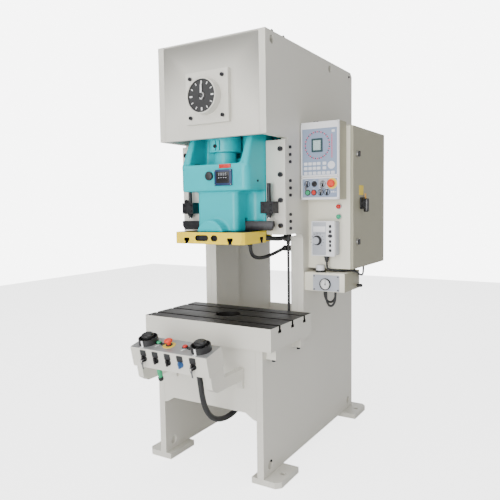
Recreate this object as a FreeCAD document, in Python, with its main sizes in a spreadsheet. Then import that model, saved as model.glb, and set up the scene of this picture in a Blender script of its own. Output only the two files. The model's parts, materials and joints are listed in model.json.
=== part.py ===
import FreeCAD, Part
import Sketcher
import math
import operator
import os
from types import SimpleNamespace
from FreeCAD import Placement, Rotation, Vector

# Gap-frame mechanical stamping press with its crank drive, slide, controls and services.
# Frame: millimetres, +Z up, front of the machine towards -Y, origin on the floor at the
# centre of the four foundation bolt holes.

SIZES = {
    # welded frame
    "frame_width": 624, "side_plate": 36, "frame_height": 2110, "plate_foot": 30,
    "leg_front": -589, "throat_face": -152, "jaw_front": -316, "head_front": -527,
    "frame_rear": 550, "bed_height": 648, "jaw_bottom": 1167, "head_bottom": 1640,
    "throat_round": 37, "rear_chamfer": 22, "lift_hole": 19, "lift_drop": 40,
    "lift_front": -465, "lift_rear": 208, "leg_hole": 22, "leg_hole_height": 78,
    "leg_hole_inset": 66, "liner_width": 36, "liner_depth": 240,
    "foot_wide": 150, "foot_long": 200, "foot_inside": 31, "foot_corner": 24,
    "foundation_x": 362, "foundation_y": 489, "foundation_hole": 14,
    "bed_front_plate": 20, "bed_front_low": 305, "bed_arch": 60, "bed_plate": 50,
    "bed_plate_rear": 60, "bed_drop_hole": 80, "rear_plate": 20, "rear_plate_low": 305,
    "head_plate": 30, "head_cover": 12, "wall_plate": 30, "front_wall": -320,
    "rear_wall": 100, "wall_low": 1720, "motor_shelf": 14, "motor_shelf_front": 40,
    "motor_shelf_rear": 380,
    # slide ways
    "cover_plate": 30, "cover_top": 1630, "way_depth": 116, "way_ridge": 26,
    "way_ridge_half": 28, "slide_gap": 0.3, "cover_screw_inset": 24, "screw_head": 12,
    "screw_high": 11, "jack_screw": 8,
    # bolster
    "die_axis": -396, "bolster_half": 371, "bolster_front": -612, "bolster_rear": -182,
    "bolster_thick": 109, "slot_pitch": 130.5, "slot_mouth": 18, "slot_wide": 30,
    "slot_deep": 34, "slot_head": 14, "bolster_hole": 64, "lug": 50, "lug_spread": 130,
    "lug_bolt": 9, "lug_bolt_high": 14,
    # crank
    "crank_height": 1832, "crank_throw": 40, "journal": 45, "crank_pin": 50, "web": 95,
    "web_thick": 13, "bush_wall": 10, "running_gap": 0.05, "nose": 16, "big_end_thick": 70,
    "big_end_wall": 25, "big_end_swing": 9, "rod_bar": 81.5, "rod_low": 1578, "rod_gap": 4,
    # dial
    "dial_flange": 248, "dial_flange_thick": 24, "dial_rim": 84, "dial_wall": 6,
    "dial_proud": 45, "dial_recess": 10, "dial_face": 5, "dial_bolt_pitch": 93,
    "pointer_long": 60, "pointer_wide": 12, "pointer_thick": 3,
    # drive
    "wheel_room": 16, "wheel_front": 385, "wheel_wide": 120, "belt_seat": 62,
    "belt_thick": 9, "belt_wide": 14, "belt_count": 3, "belt_pitch": 19, "belt_gap": 0.3,
    "pulley_radius": 42, "motor_radius": 104, "motor_rise": 110, "motor_front": 70,
    "motor_long": 290, "motor_shaft": 14, "guard_sheet": 3, "guard_deep": 24,
    "guard_low": 1150,
    # slide
    "slide_half": 205, "slide_low": 1186, "slide_nose_half": 122, "slide_nose_front": -486,
    "slide_step": 1385, "box_inset": 5, "slide_box_front": -516,
    "slide_box_top": 1517, "slide_box_round": 35, "rib_low": 50, "rib_top": 26,
    "cheek_top": 1695,
    "rib_top_front": -440, "seat_depth": 110, "screw_collar": 55.5, "screw_stem": 50,
    "screw_top": 1690, "base_plate": 58, "base_front": -564, "base_step": -352, "base_rear": -230,
    "base_step_in": 33, "base_hole": 14, "base_hole_deep": 18, "base_slot_mouth": 18,
    "base_slot_wide": 30, "base_slot_deep": 30, "base_slot_head": 14, "end_slot_long": 60,
    "base_slot_x": 128, "base_bevel": 14, "boss_half": 80, "boss_high": 60,
    "boss_front": -546, "shank_bore": 25, "boss_bolt_x": 56,
    # knock-out
    "bar_half": 275, "bar_thick": 24, "bar_high": 46, "bar_low": 1190, "bar_lift": 13,
    "stop_x": 240, "stop_wide": 70, "stop_low": 1273, "stop_high": 58, "stop_out": 60,
    "stop_rod": 10, "stop_tip": 1251, "stop_top": 1420, "stop_axis": 34,
    # height read-out
    "meter_x": 18, "meter_wide": 100, "meter_high": 77, "meter_thick": 10,
    "meter_low": 1410, "plug_x": -16, "plug_rise": 49, "plug": 22, "plug_thick": 14,
    # cabinet
    "cabinet_deep": 233, "cabinet_front": -84, "cabinet_rear": 414, "cabinet_low": 980,
    "cabinet_top": 1706, "sheet": 3, "door_deep": 15, "door_gap": 0.5,
    "lamp_in": 173, "lamp_high": 1301, "lamp_pitch": 51, "lamp": 11,
    "latch_y": -30, "latch_inset": 139, "latch": 16, "switch_y": 39, "switch_z": 1317,
    # operator panel
    "panel_gap": 4, "panel_wide": 208, "panel_front": -176, "panel_low": 1337,
    "panel_top": 1724, "panel_split": 1452, "panel_lip": 8,
    # speed and air boxes
    "speed_gap": 50, "speed_wide": 127, "speed_front": -156, "speed_low": 1050,
    "speed_top": 1229, "speed_knob_in": 33, "speed_knob_z": 1130,
    "gland_in": 65, "gland_y": -111, "gland": 12, "gland_long": 34,
    "air_wide": 222, "air_front": -134, "air_rear": 79, "air_low": 865, "air_top": 962,
    "gauge_in": 118, "gauge_z": 904, "gauge": 30, "gauge_proud": 12, "regulator_in": 78,
    "regulator_y": -109, "regulator": 23,
    # two-hand control box
    "desk_half": 216, "desk_deep": 118, "desk_high": 96, "desk_front": -894,
    "desk_top": 672, "desk_tilt": 13, "desk_round": 6, "palm_x": 150, "palm_depth": 59,
    "desk_button_x": 88, "desk_stop_x": -30, "selector_pitch": 70, "arm_x": 180,
    "arm_wide": 32, "arm_low": 498, "arm_top": 552, "arm_plate_low": 454,
    "guard_ring": 41, "guard_wall": 5, "guard_high": 30,
    # hoses
    "conduit": 13, "hose": 9, "cable": 6,
}

doc = FreeCAD.newDocument("stamping_press")
sheet = doc.addObject("Spreadsheet::Sheet", "Sizes")
for row, (alias, number) in enumerate(SIZES.items(), 1):
    sheet.set(f"A{row}", alias)
    sheet.set(f"B{row}", str(number))
    sheet.setAlias(f"B{row}", alias)
doc.recompute()

SIGNS = {"+": operator.add, "-": operator.sub, "*": operator.mul, "/": operator.truediv}


class Size:
    """A length that carries its spreadsheet expression along with its present value."""

    def __init__(self, text, value):
        self.text = text
        self.value = value

    def __add__(self, other):
        return joined(self, "+", other)

    def __radd__(self, other):
        return joined(other, "+", self)

    def __sub__(self, other):
        return joined(self, "-", other)

    def __rsub__(self, other):
        return joined(other, "-", self)

    def __mul__(self, other):
        return joined(self, "*", other)

    def __rmul__(self, other):
        return joined(other, "*", self)

    def __truediv__(self, other):
        return joined(self, "/", other)

    def __neg__(self):
        return joined(0, "-", self)


def size(item):
    """The item as a Size, whether it is one already or a plain number."""
    if isinstance(item, Size):
        return item
    return Size(repr(float(item)), float(item))


def joined(first, sign, second):
    """Two sizes joined by one arithmetic sign, as text and as a value."""
    first, second = size(first), size(second)
    text = f"({first.text} {sign} {second.text})"
    return Size(text, SIGNS[sign](first.value, second.value))


def bind(thing, prop, amount):
    """Ties one property of a document object to a size."""
    thing.setExpression(prop, size(amount).text)


d = SimpleNamespace(**{a: Size(f"Sizes.{a}", float(n)) for a, n in SIZES.items()})

# The flywheel fills the head up to the running room under its cover.
wheel_radius = d.frame_height - d.head_cover - d.crank_height - d.wheel_room

TURNS = {"z": Rotation(), "x": Rotation(Vector(0, 1, 0), 90),
         "y": Rotation(Vector(1, 0, 0), -90), "-y": Rotation(Vector(1, 0, 0), 90),
         "-x": Rotation(Vector(0, 1, 0), -90), "-z": Rotation(Vector(1, 0, 0), 180)}


def place(thing, at, turn="z"):
    """Stands an object at a bound place, with its own +Z along the named direction."""
    thing.Placement = Placement(Vector(), TURNS[turn])
    for axis, amount in zip("xyz", at):
        bind(thing, f"Placement.Base.{axis}", amount)
    return thing


def box(name, x, y, z):
    """A box between two places along each axis."""
    piece = doc.addObject("Part::Box", name)
    for prop, (low, high) in zip(("Length", "Width", "Height"), (x, y, z)):
        bind(piece, prop, size(high) - low)
    return place(piece, (x[0], y[0], z[0]))


def rod(name, at, radius, length, turn="z"):
    """A cylinder that starts at a place and runs along the named direction."""
    piece = doc.addObject("Part::Cylinder", name)
    bind(piece, "Radius", radius)
    bind(piece, "Height", length)
    return place(piece, at, turn)


def fused(name, *parts):
    """One solid from parts that run into each other."""
    piece = doc.addObject("Part::MultiFuse", name)
    piece.Shapes = list(parts)
    piece.Refine = True
    return piece


def group(name, *parts):
    """Separate solids kept together in one object."""
    piece = doc.addObject("Part::Compound", name)
    piece.Links = list(parts)
    return piece


def cut(name, base, *tools):
    """The base with the tools taken away."""
    piece = doc.addObject("Part::Cut", name)
    piece.Base = base
    piece.Tool = tools[0] if len(tools) == 1 else group(name + "_tools", *tools)
    piece.Refine = True
    return piece


def mirrored(name, source):
    """The same piece on the other side of the machine."""
    piece = doc.addObject("Part::Mirroring", name)
    piece.Source = source
    piece.Base = Vector()
    piece.Normal = Vector(1, 0, 0)
    return piece


def pair(name, source):
    """A right-hand piece with its left-hand twin."""
    return group(name, source, mirrored(name + "_twin", source))


def upright(edge, axis="z"):
    """True for a straight edge along the named axis."""
    ends = [vertex.Point for vertex in edge.Vertexes]
    if len(ends) < 2:
        return False
    run = ends[1] - ends[0]
    return abs(abs(getattr(run, axis)) - run.Length) < 1e-6 and run.Length > 1e-6


def rounded(name, base, radius, wanted):
    """The base with the wanted edges rounded to one radius."""
    doc.recompute()
    piece = doc.addObject("Part::Fillet", name)
    piece.Base = base
    numbers = [i for i, edge in enumerate(base.Shape.Edges, 1) if wanted(edge)]
    piece.Edges = [(i, size(radius).value, size(radius).value) for i in numbers]
    return piece


def outline_sketch(body, plane, outline, holes=()):
    """A closed sketch of bound points, and round holes given as (across, up, radius)."""
    sketch = body.newObject("Sketcher::SketchObject", body.Name + "_sketch")
    support = [part for part in body.Origin.OriginFeatures if part.Role == plane]
    sketch.AttachmentSupport = [(support[0], "")]
    sketch.MapMode = "FlatFace"
    points = [(size(across), size(up)) for across, up in outline]
    for start, end in zip(points, points[1:] + points[:1]):
        ends = [Vector(across.value, up.value, 0) for across, up in (start, end)]
        sketch.addGeometry(Part.LineSegment(*ends), False)
    count = len(points)
    for i, (across, up) in enumerate(points):
        sketch.addConstraint(Sketcher.Constraint("Coincident", i, 2, (i + 1) % count, 1))
        for way, amount in (("DistanceX", across), ("DistanceY", up)):
            number = sketch.addConstraint(
                Sketcher.Constraint(way, -1, 1, i, 1, amount.value))
            sketch.setExpression(f"Constraints[{number}]", amount.text)
    for across, up, radius in holes:
        across, up, radius = size(across), size(up), size(radius)
        ring = Part.Circle(Vector(across.value, up.value, 0), Vector(0, 0, 1), radius.value)
        number = sketch.addGeometry(ring, False)
        for way, amount in (("DistanceX", across), ("DistanceY", up)):
            held = sketch.addConstraint(
                Sketcher.Constraint(way, -1, 1, number, 3, amount.value))
            sketch.setExpression(f"Constraints[{held}]", amount.text)
        held = sketch.addConstraint(Sketcher.Constraint("Radius", number, radius.value))
        sketch.setExpression(f"Constraints[{held}]", radius.text)
    return sketch


def plate(name, plane, outline, low, high, holes=()):
    """A plate of any outline: across YZ it is thick along X, across XZ along Y, else Z."""
    body = doc.addObject("PartDesign::Body", name)
    sketch = outline_sketch(body, plane, outline, holes)
    pad = body.newObject("PartDesign::Pad", name + "_pad")
    pad.Profile = sketch
    bind(pad, "Length", size(high) - low)
    axis = {"YZ_Plane": "x", "XZ_Plane": "y", "XY_Plane": "z"}[plane]
    pad.Reversed = plane == "XZ_Plane"
    bind(body, f"Placement.Base.{axis}", low)
    return body


def turned(name, profile, at, turn="z"):
    """A turned piece: its profile is (radius, place along the axis)."""
    body = doc.addObject("PartDesign::Body", name)
    sketch = outline_sketch(body, "XZ_Plane", profile)
    spin = body.newObject("PartDesign::Revolution", name + "_spin")
    spin.Profile = sketch
    spin.ReferenceAxis = (sketch, ["V_Axis"])
    spin.Angle = 360
    return place(body, at, turn)


def hose(name, points, radius):
    """A tube along straight runs joined by tangent arcs."""
    spots = [Vector(*(size(number).value for number in point)) for point in points]
    edges = []
    start = spots[0]
    radii = []
    for before, here, after in zip(spots, spots[1:], spots[2:]):
        back, ahead = here - before, after - here
        half = back.getAngle(ahead) / 2
        reach = 0.45 * min(back.Length, ahead.Length)
        radii.append(round(reach / math.tan(half)))
        back.normalize()
        ahead.normalize()
        into, out = here - back * reach, here + ahead * reach
        bulge = (ahead - back).normalize()
        bend = reach / math.tan(half)
        middle = here + bulge * (bend / math.cos(half) - bend)
        edges.append(Part.LineSegment(start, into).toShape())
        edges.append(Part.Arc(into, middle, out).toShape())
        start = out
    edges.append(Part.LineSegment(start, spots[-1]).toShape())
    path = Part.Wire(edges)
    thick = size(radius).value
    ring = Part.Wire([Part.makeCircle(thick, spots[0], spots[1] - spots[0])])
    shape = path.makePipeShell([ring], True, False)
    piece = doc.addObject("Part::Feature", name)
    piece.Shape = shape
    expected = math.pi * thick ** 2 * path.Length
    print(name, "arc radii", radii, "length", round(path.Length), "volume ratio",
          round(shape.Volume / expected, 4))
    return piece


NODES = []


def node(name, thing):
    """Marks an object as one exported piece of the machine."""
    thing.Label = name
    NODES.append(thing)
    return thing


half = d.frame_width / 2
inner = half - d.side_plate
crank_y = d.die_axis


def side_plates():
    """The two C-shaped frame plates, with lifting holes and leg holes."""
    outline = [(d.leg_front, d.plate_foot), (d.frame_rear, d.plate_foot),
               (d.frame_rear, d.frame_height - d.rear_chamfer),
               (d.frame_rear - d.rear_chamfer, d.frame_height),
               (d.head_front, d.frame_height), (d.head_front, d.head_bottom),
               (d.jaw_front, d.head_bottom), (d.jaw_front, d.jaw_bottom),
               (d.throat_face, d.jaw_bottom), (d.throat_face, d.bed_height),
               (d.leg_front, d.bed_height)]
    top = d.frame_height - d.lift_drop
    holes = [(d.lift_front, top, d.lift_hole), (d.lift_rear, top, d.lift_hole),
             (d.leg_front + d.leg_hole_inset, d.leg_hole_height, d.leg_hole),
             (d.frame_rear - d.leg_hole_inset, d.leg_hole_height, d.leg_hole)]
    right = plate("plate_right", "YZ_Plane", outline, inner, half, holes)
    doc.recompute()
    numbers = []
    for i, edge in enumerate(right.Shape.Edges, 1):
        middle = edge.CenterOfMass
        at_throat = abs(middle.y - d.throat_face.value) < 1e-3
        at_jaw = abs(middle.z - d.jaw_bottom.value) < 1e-3
        if upright(edge, "x") and at_throat and at_jaw:
            numbers.append(f"Edge{i}")
    pad = right.Tip
    round_edge = right.newObject("PartDesign::Fillet", "throat_fillet")
    round_edge.Base = (pad, numbers)
    bind(round_edge, "Radius", d.throat_round)
    node("side_plate_right", right)
    node("side_plate_left", mirrored("plate_left", right))


def throat_liners():
    """Inner stiffening bars behind the throat edge, one on each side plate."""
    low = d.bed_height
    liner = box("liner", (inner - d.liner_width, inner),
                (d.throat_face, d.throat_face + d.liner_depth), (low, d.jaw_bottom - 17))
    node("throat_liners", pair("liners", liner))


def foot_plates():
    """Four floor plates under the legs, each with a foundation hole."""
    outer = inner - d.foot_inside + d.foot_wide
    start = inner - d.foot_inside
    rear_end = -d.leg_front
    feet = []
    for name, low, high in (("front", d.leg_front, d.leg_front + d.foot_long),
                            ("rear", rear_end - d.foot_long, rear_end)):
        way = -1 if name == "front" else 1
        edge_out = low if name == "front" else high
        edge_in = high if name == "front" else low
        outline = [(start, edge_in), (start, edge_out),
                   (outer - d.foot_corner, edge_out), (outer, edge_out - way * d.foot_corner),
                   (outer, edge_in)]
        hole = [(d.foundation_x, way * d.foundation_y, d.foundation_hole)]
        foot = plate(f"foot_{name}", "XY_Plane", outline, 0, d.plate_foot, hole)
        feet += [foot, mirrored(f"foot_{name}_twin", foot)]
    node("foot_plates", group("feet", *feet))


def cross_plates():
    """Plates welded between the sides: bed front, bed top, rear, head front, head top, shelf."""
    low, arch = d.bed_front_low, d.bed_arch
    front = plate("bed_front", "XZ_Plane",
                  [(-inner, low), (-inner + arch / 3, low + arch / 3 * 0.25),
                   (-inner + arch, low + arch / 2), (inner - arch, low + arch / 2),
                   (inner - arch / 3, low + arch / 3 * 0.25), (inner, low),
                   (inner, d.bed_height), (-inner, d.bed_height)],
                  d.leg_front, d.leg_front + d.bed_front_plate)
    top = cut("bed_top", box("bed_slab", (-inner, inner),
                             (d.leg_front + d.bed_front_plate, d.bed_plate_rear),
                             (d.bed_height - d.bed_plate, d.bed_height)),
              rod("bed_drop", (0, d.die_axis, d.bed_height - d.bed_plate - 1),
                  d.bed_drop_hole, d.bed_plate + 2))
    rear = box("bed_rear", (-inner, inner), (d.frame_rear - d.rear_plate, d.frame_rear),
               (d.rear_plate_low, d.bed_height))
    front_top = d.frame_height - d.head_cover
    head = plate("head_face", "XZ_Plane",
                 [(-inner, d.head_bottom), (inner, d.head_bottom), (inner, front_top),
                  (-inner, front_top)], d.head_front, d.head_front + d.head_plate,
                 [(0, d.crank_height, d.journal + d.bush_wall)])
    cover = box("head_lid", (-inner, inner), (d.head_front, d.frame_rear - d.rear_chamfer),
                (front_top, d.frame_height))
    shelf = box("shelf", (-inner, inner), (d.motor_shelf_front, d.motor_shelf_rear),
                (d.jaw_bottom, d.jaw_bottom + d.motor_shelf))
    node("cross_plates", group("welded_plates", front, top, rear, head, cover, shelf))


def bearing_walls():
    """Two walls that carry the crank, with the three bronze bushes."""
    top = d.frame_height - d.head_cover
    pieces = []
    seat = d.journal + d.bush_wall
    for name, start in (("front", d.front_wall), ("rear", d.rear_wall)):
        pieces.append(plate(f"wall_{name}", "XZ_Plane",
                            [(-inner, d.wall_low), (inner, d.wall_low), (inner, top),
                             (-inner, top)], start, start + d.wall_plate,
                            [(0, d.crank_height, seat)]))
    for name, start, long in (("nose", d.head_front, d.head_plate),
                              ("front", d.front_wall, d.wall_plate),
                              ("rear", d.rear_wall, d.wall_plate)):
        ring = [(d.journal + d.running_gap, 0), (seat, 0), (seat, long),
                (d.journal + d.running_gap, long)]
        pieces.append(turned(f"bush_{name}", ring, (0, start, d.crank_height), "y"))
    node("bearing_walls", group("walls_and_bushes", *pieces))


def slide_ways():
    """Front cover plates and the ridged liners that guide the slide."""
    way_in = d.slide_half + d.slide_gap
    middle = d.jaw_front + d.way_depth / 2
    ridge = d.way_ridge_half
    outline = [(inner, d.jaw_front), (inner, d.jaw_front + d.way_depth),
               (way_in, d.jaw_front + d.way_depth), (way_in, middle + ridge),
               (way_in - d.way_ridge, middle), (way_in, middle - ridge),
               (way_in, d.jaw_front)]
    liner = plate("way_liner", "XY_Plane", outline, d.slide_low + d.rod_gap, d.cover_top)
    cover = box("way_cover", (way_in, half), (d.jaw_front - d.cover_plate, d.jaw_front),
                (d.jaw_bottom, d.cover_top))
    node("slide_gibs", group("ways", liner, mirrored("way_liner_twin", liner), cover,
                             mirrored("way_cover_twin", cover)))


def socket_screw(name, at, radius, high, turn):
    """A socket screw head with its hexagon recess."""
    head = rod(name + "_head", at, radius, high, turn)
    recess = doc.addObject("Part::Prism", name + "_hex")
    recess.Polygon = 6
    bind(recess, "Circumradius", size(radius) * 0.5)
    bind(recess, "Height", size(high))
    along = {"-y": (0, -1, 0), "x": (1, 0, 0), "-z": (0, 0, -1), "z": (0, 0, 1)}[turn]
    sunk = [size(a) + size(high) * (0.45 * k) for a, k in zip(at, along)]
    place(recess, sunk, turn)
    return cut(name, head, recess)


def frame_screws():
    """Cover-plate screws, side jack screws, dial screws and bolster lug bolts."""
    screws = []
    face = d.jaw_front - d.cover_plate
    rows = 4
    inset = 45
    step = (d.cover_top - d.jaw_bottom - 2 * inset) / (rows - 1)
    for i in range(rows):
        at = (half - d.cover_screw_inset, face, d.jaw_bottom + inset + step * i)
        screws.append(socket_screw(f"cover_screw_{i}", at, d.screw_head, d.screw_high, "-y"))
    for i, lift in enumerate((30, 64, 99, 194, 229, 265, 357, 392, 429)):
        at = (half, d.jaw_front + 18, d.jaw_bottom + lift)
        screws.append(socket_screw(f"jack_screw_{i}", at, d.jack_screw, 8, "x"))
    for i, side in enumerate((-1, 1)):
        at = (half + d.lug / 2, d.die_axis + side * d.lug_spread,
              d.bed_height - d.lug)
        screws.append(socket_screw(f"lug_bolt_{i}", at, d.lug_bolt, d.lug_bolt_high, "-z"))
    twins = [mirrored(screw.Name + "_twin", screw) for screw in screws]
    dial_face = d.head_front - d.dial_flange_thick
    for i, (across, up) in enumerate(((-1, -1), (1, -1), (1, 1), (-1, 1))):
        at = (across * d.dial_bolt_pitch, dial_face, d.crank_height + up * d.dial_bolt_pitch)
        twins.append(socket_screw(f"dial_screw_{i}", at, 9, 10, "-y"))
    node("frame_screws", group("screws", *screws, *twins))


def bolster():
    """The slotted table with its centre hole, and the four lugs it is bolted to."""
    low, top = d.bed_height, d.bed_height + d.bolster_thick
    slab = box("bolster_slab", (-d.bolster_half, d.bolster_half),
               (d.bolster_front, d.bolster_rear), (low, top))
    tools = [rod("bolster_drop", (0, d.die_axis, low - 1), d.bolster_hole,
                 d.bolster_thick + 2)]
    for i in (-1, 0, 1):
        middle = d.die_axis + i * d.slot_pitch
        ends = (-d.bolster_half - 1, d.bolster_half + 1)
        mouth = box(f"slot_mouth_{i + 1}", ends,
                    (middle - d.slot_mouth / 2, middle + d.slot_mouth / 2),
                    (top - d.slot_deep, top + 1))
        wide = box(f"slot_foot_{i + 1}", ends,
                   (middle - d.slot_wide / 2, middle + d.slot_wide / 2),
                   (top - d.slot_deep, top - d.slot_deep + d.slot_head))
        tools.append(fused(f"slot_{i + 1}", mouth, wide))
    table = cut("table", slab, fused("table_tools", *tools))
    lugs = []
    for i, side in enumerate((-1, 1)):
        middle = d.die_axis + side * d.lug_spread
        lug = box(f"lug_{i}", (half, half + d.lug), (middle - d.lug / 2, middle + d.lug / 2),
                  (low - d.lug, low))
        lugs += [lug, mirrored(f"lug_{i}_twin", lug)]
    node("bolster", group("table_and_lugs", table, *lugs))


def crank_dial():
    """The square dial flange with its round housing, and the face behind the pointer."""
    flange_front = d.head_front - d.dial_flange_thick
    square = d.dial_flange / 2
    flange = box("dial_square", (-square, square), (flange_front, d.head_front),
                 (d.crank_height - square, d.crank_height + square))
    barrel = rod("dial_barrel", (0, flange_front - d.dial_proud, d.crank_height), d.dial_rim,
                 d.dial_proud + 1, "y")
    bore = rod("dial_bore", (0, flange_front - d.dial_proud - 1, d.crank_height),
               d.nose + 2, d.dial_proud + d.dial_flange_thick + 2, "y")
    recess = rod("dial_recess", (0, flange_front - d.dial_proud - 1, d.crank_height),
                 d.dial_rim - d.dial_wall, d.dial_recess + 1, "y")
    housing = cut("dial_housing", fused("dial_block", flange, barrel), bore, recess)
    face_front = flange_front - d.dial_proud + d.dial_recess - d.dial_face
    ring = [(d.nose + 2, 0), (d.dial_rim - d.dial_wall, 0),
            (d.dial_rim - d.dial_wall, d.dial_face), (d.nose + 2, d.dial_face)]
    face = turned("dial_plate", ring, (0, face_front, d.crank_height), "y")
    node("crank_dial", group("dial", housing, face))


def crankshaft():
    """The crank with its pin at the top, its nose through the dial, and the pointer."""
    z = d.crank_height
    nose_front = d.head_front - d.dial_flange_thick - d.dial_proud + 2
    rear = d.wheel_front + d.wheel_wide - 12
    shaft_front = d.head_front + 2
    front_web = crank_y - d.big_end_thick / 2 - 6 - d.web_thick
    rear_web = crank_y + d.big_end_thick / 2 + 6
    shaft = fused(
        "crank_solid",
        rod("crank_nose", (0, nose_front, z), d.nose, shaft_front - nose_front + 1, "y"),
        rod("crank_front", (0, shaft_front, z), d.journal, front_web - shaft_front + 1, "y"),
        rod("crank_web_front", (0, front_web, z), d.web, d.web_thick, "y"),
        rod("crank_pin", (0, front_web + 1, z + d.crank_throw), d.crank_pin,
            rear_web - front_web + d.web_thick - 2, "y"),
        rod("crank_web_rear", (0, rear_web, z), d.web, d.web_thick, "y"),
        rod("crank_rear", (0, rear_web + 1, z), d.journal, rear - rear_web - 1, "y"))
    hand = plate("pointer_hand", "XZ_Plane",
                 [(-d.pointer_wide / 2, z - 18), (d.pointer_wide / 2, z - 18),
                  (d.pointer_wide / 3, z + d.pointer_long - 12), (0, z + d.pointer_long),
                  (-d.pointer_wide / 3, z + d.pointer_long - 12)],
                 nose_front - d.pointer_thick, nose_front)
    node("crankshaft", group("crank_and_pointer", shaft, hand))


def connecting_rod():
    """The strap around the crank pin, which tapers into the round clamp barrel."""
    pin_z = d.crank_height + d.crank_throw
    y0, y1 = crank_y - d.big_end_thick / 2, crank_y + d.big_end_thick / 2
    hole = d.crank_pin + d.big_end_swing
    wall = d.big_end_wall
    swing = d.crank_throw + d.running_gap + 1
    block = box("strap_block", (-hole - wall, hole + swing + wall), (y0, y1),
                (pin_z - hole - wall, pin_z + hole + wall))
    block = rounded("strap", block, 45, lambda edge: upright(edge, "y"))
    barrel_top = d.wall_low - d.rod_gap
    barrel = rod("rod_barrel", (0, crank_y, d.rod_low), d.rod_bar, barrel_top - d.rod_low)
    neck = box("rod_neck", (-hole, hole), (y0, y1),
               (barrel_top - 1, pin_z - hole - wall / 2))
    outer = fused("rod_outer", block, barrel, neck)
    opening = [rod("pin_near", (0, y0 - 1, pin_z), hole, d.big_end_thick + 2, "y"),
               rod("pin_far", (swing, y0 - 1, pin_z), hole, d.big_end_thick + 2, "y"),
               box("pin_between", (0, swing), (y0 - 1, y1 + 1), (pin_z - hole, pin_z + hole))]
    thread = rod("rod_thread", (0, crank_y, d.rod_low - 1), d.screw_stem + d.slide_gap,
                 d.screw_top - d.rod_low + 4)
    node("connecting_rod", cut("rod", outer, fused("pin_slot", *opening), thread))


def slide_ribs(back):
    """The two ribs that lean back from the slide box to the top of the slide."""
    low, top = d.slide_box_top - 1, d.cheek_top
    outline = [(back, low), (d.slide_box_front, low), (d.rib_top_front, top), (back, top)]
    out = d.slide_half - d.box_inset
    inner = out - d.rib_low
    rib = plate("rib_plate", "YZ_Plane", outline, inner, out)
    lean = plate("rib_lean", "XZ_Plane",
                 [(inner - 1, low - 1), (inner, low), (out - d.rib_top, top + 1),
                  (inner - 1, top + 1)], d.slide_box_front - 1, back + 1)
    right = cut("rib_right", rib, lean)
    return [right, mirrored("rib_left", right)]


def slide():
    """The slide casting with its vee grooves, cheeks, ball seat and knock-out slot."""
    middle = d.jaw_front + d.way_depth / 2
    vee = d.way_ridge_half
    back = d.jaw_front + d.way_depth
    front = d.jaw_front - 24
    side = d.slide_half
    plan = [(side, front), (side, middle - vee), (side - d.way_ridge, middle),
            (side, middle + vee), (side, back), (-side, back), (-side, middle + vee),
            (d.way_ridge - side, middle), (-side, middle - vee), (-side, front)]
    core = plate("slide_core", "XY_Plane", plan, d.slide_low, d.cheek_top)
    nose = box("slide_nose", (-d.slide_nose_half, d.slide_nose_half),
               (d.slide_nose_front, front + 1), (d.slide_low, d.slide_step + 1))
    out = d.slide_half - d.box_inset
    upper = box("slide_upper", (-out, out),
                (d.slide_box_front, front + 1), (d.slide_step, d.slide_box_top))
    upper = rounded("slide_upper_round", upper, d.slide_box_round,
                    lambda edge: upright(edge) and
                    edge.CenterOfMass.y < d.slide_box_front.value + 1)
    ribs = slide_ribs(front)
    seat = rod("slide_seat", (0, crank_y, d.slide_box_top - d.seat_depth),
               d.screw_collar + 0.5, d.seat_depth + 1)
    barrel_room = rod("barrel_room", (0, crank_y, d.slide_box_top), d.rod_bar + 6,
                      d.cheek_top - d.slide_box_top + 1)
    slot = box("bar_slot", (-d.slide_nose_half - 1, d.slide_nose_half + 1),
               (crank_y - d.bar_thick / 2 - d.slide_gap, crank_y + d.bar_thick / 2 + d.slide_gap),
               (d.bar_low - d.slide_gap, d.bar_low + d.bar_high + d.bar_lift + 2))
    node("slide_body", cut("slide_casting", fused("slide_block", core, nose, upper, *ribs),
                           fused("slide_tools", seat, barrel_room, slot)))
    collar_top = d.rod_low - 1
    neck = [(0, 0), (d.screw_collar, 0), (d.screw_collar, collar_top - d.slide_box_top
             + d.seat_depth), (d.screw_stem, collar_top - d.slide_box_top + d.seat_depth),
            (d.screw_stem, d.screw_top - d.slide_box_top + d.seat_depth),
            (0, d.screw_top - d.slide_box_top + d.seat_depth)]
    node("adjusting_screw", turned("screw_piece", neck,
                                   (0, crank_y, d.slide_box_top - d.seat_depth)))


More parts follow.
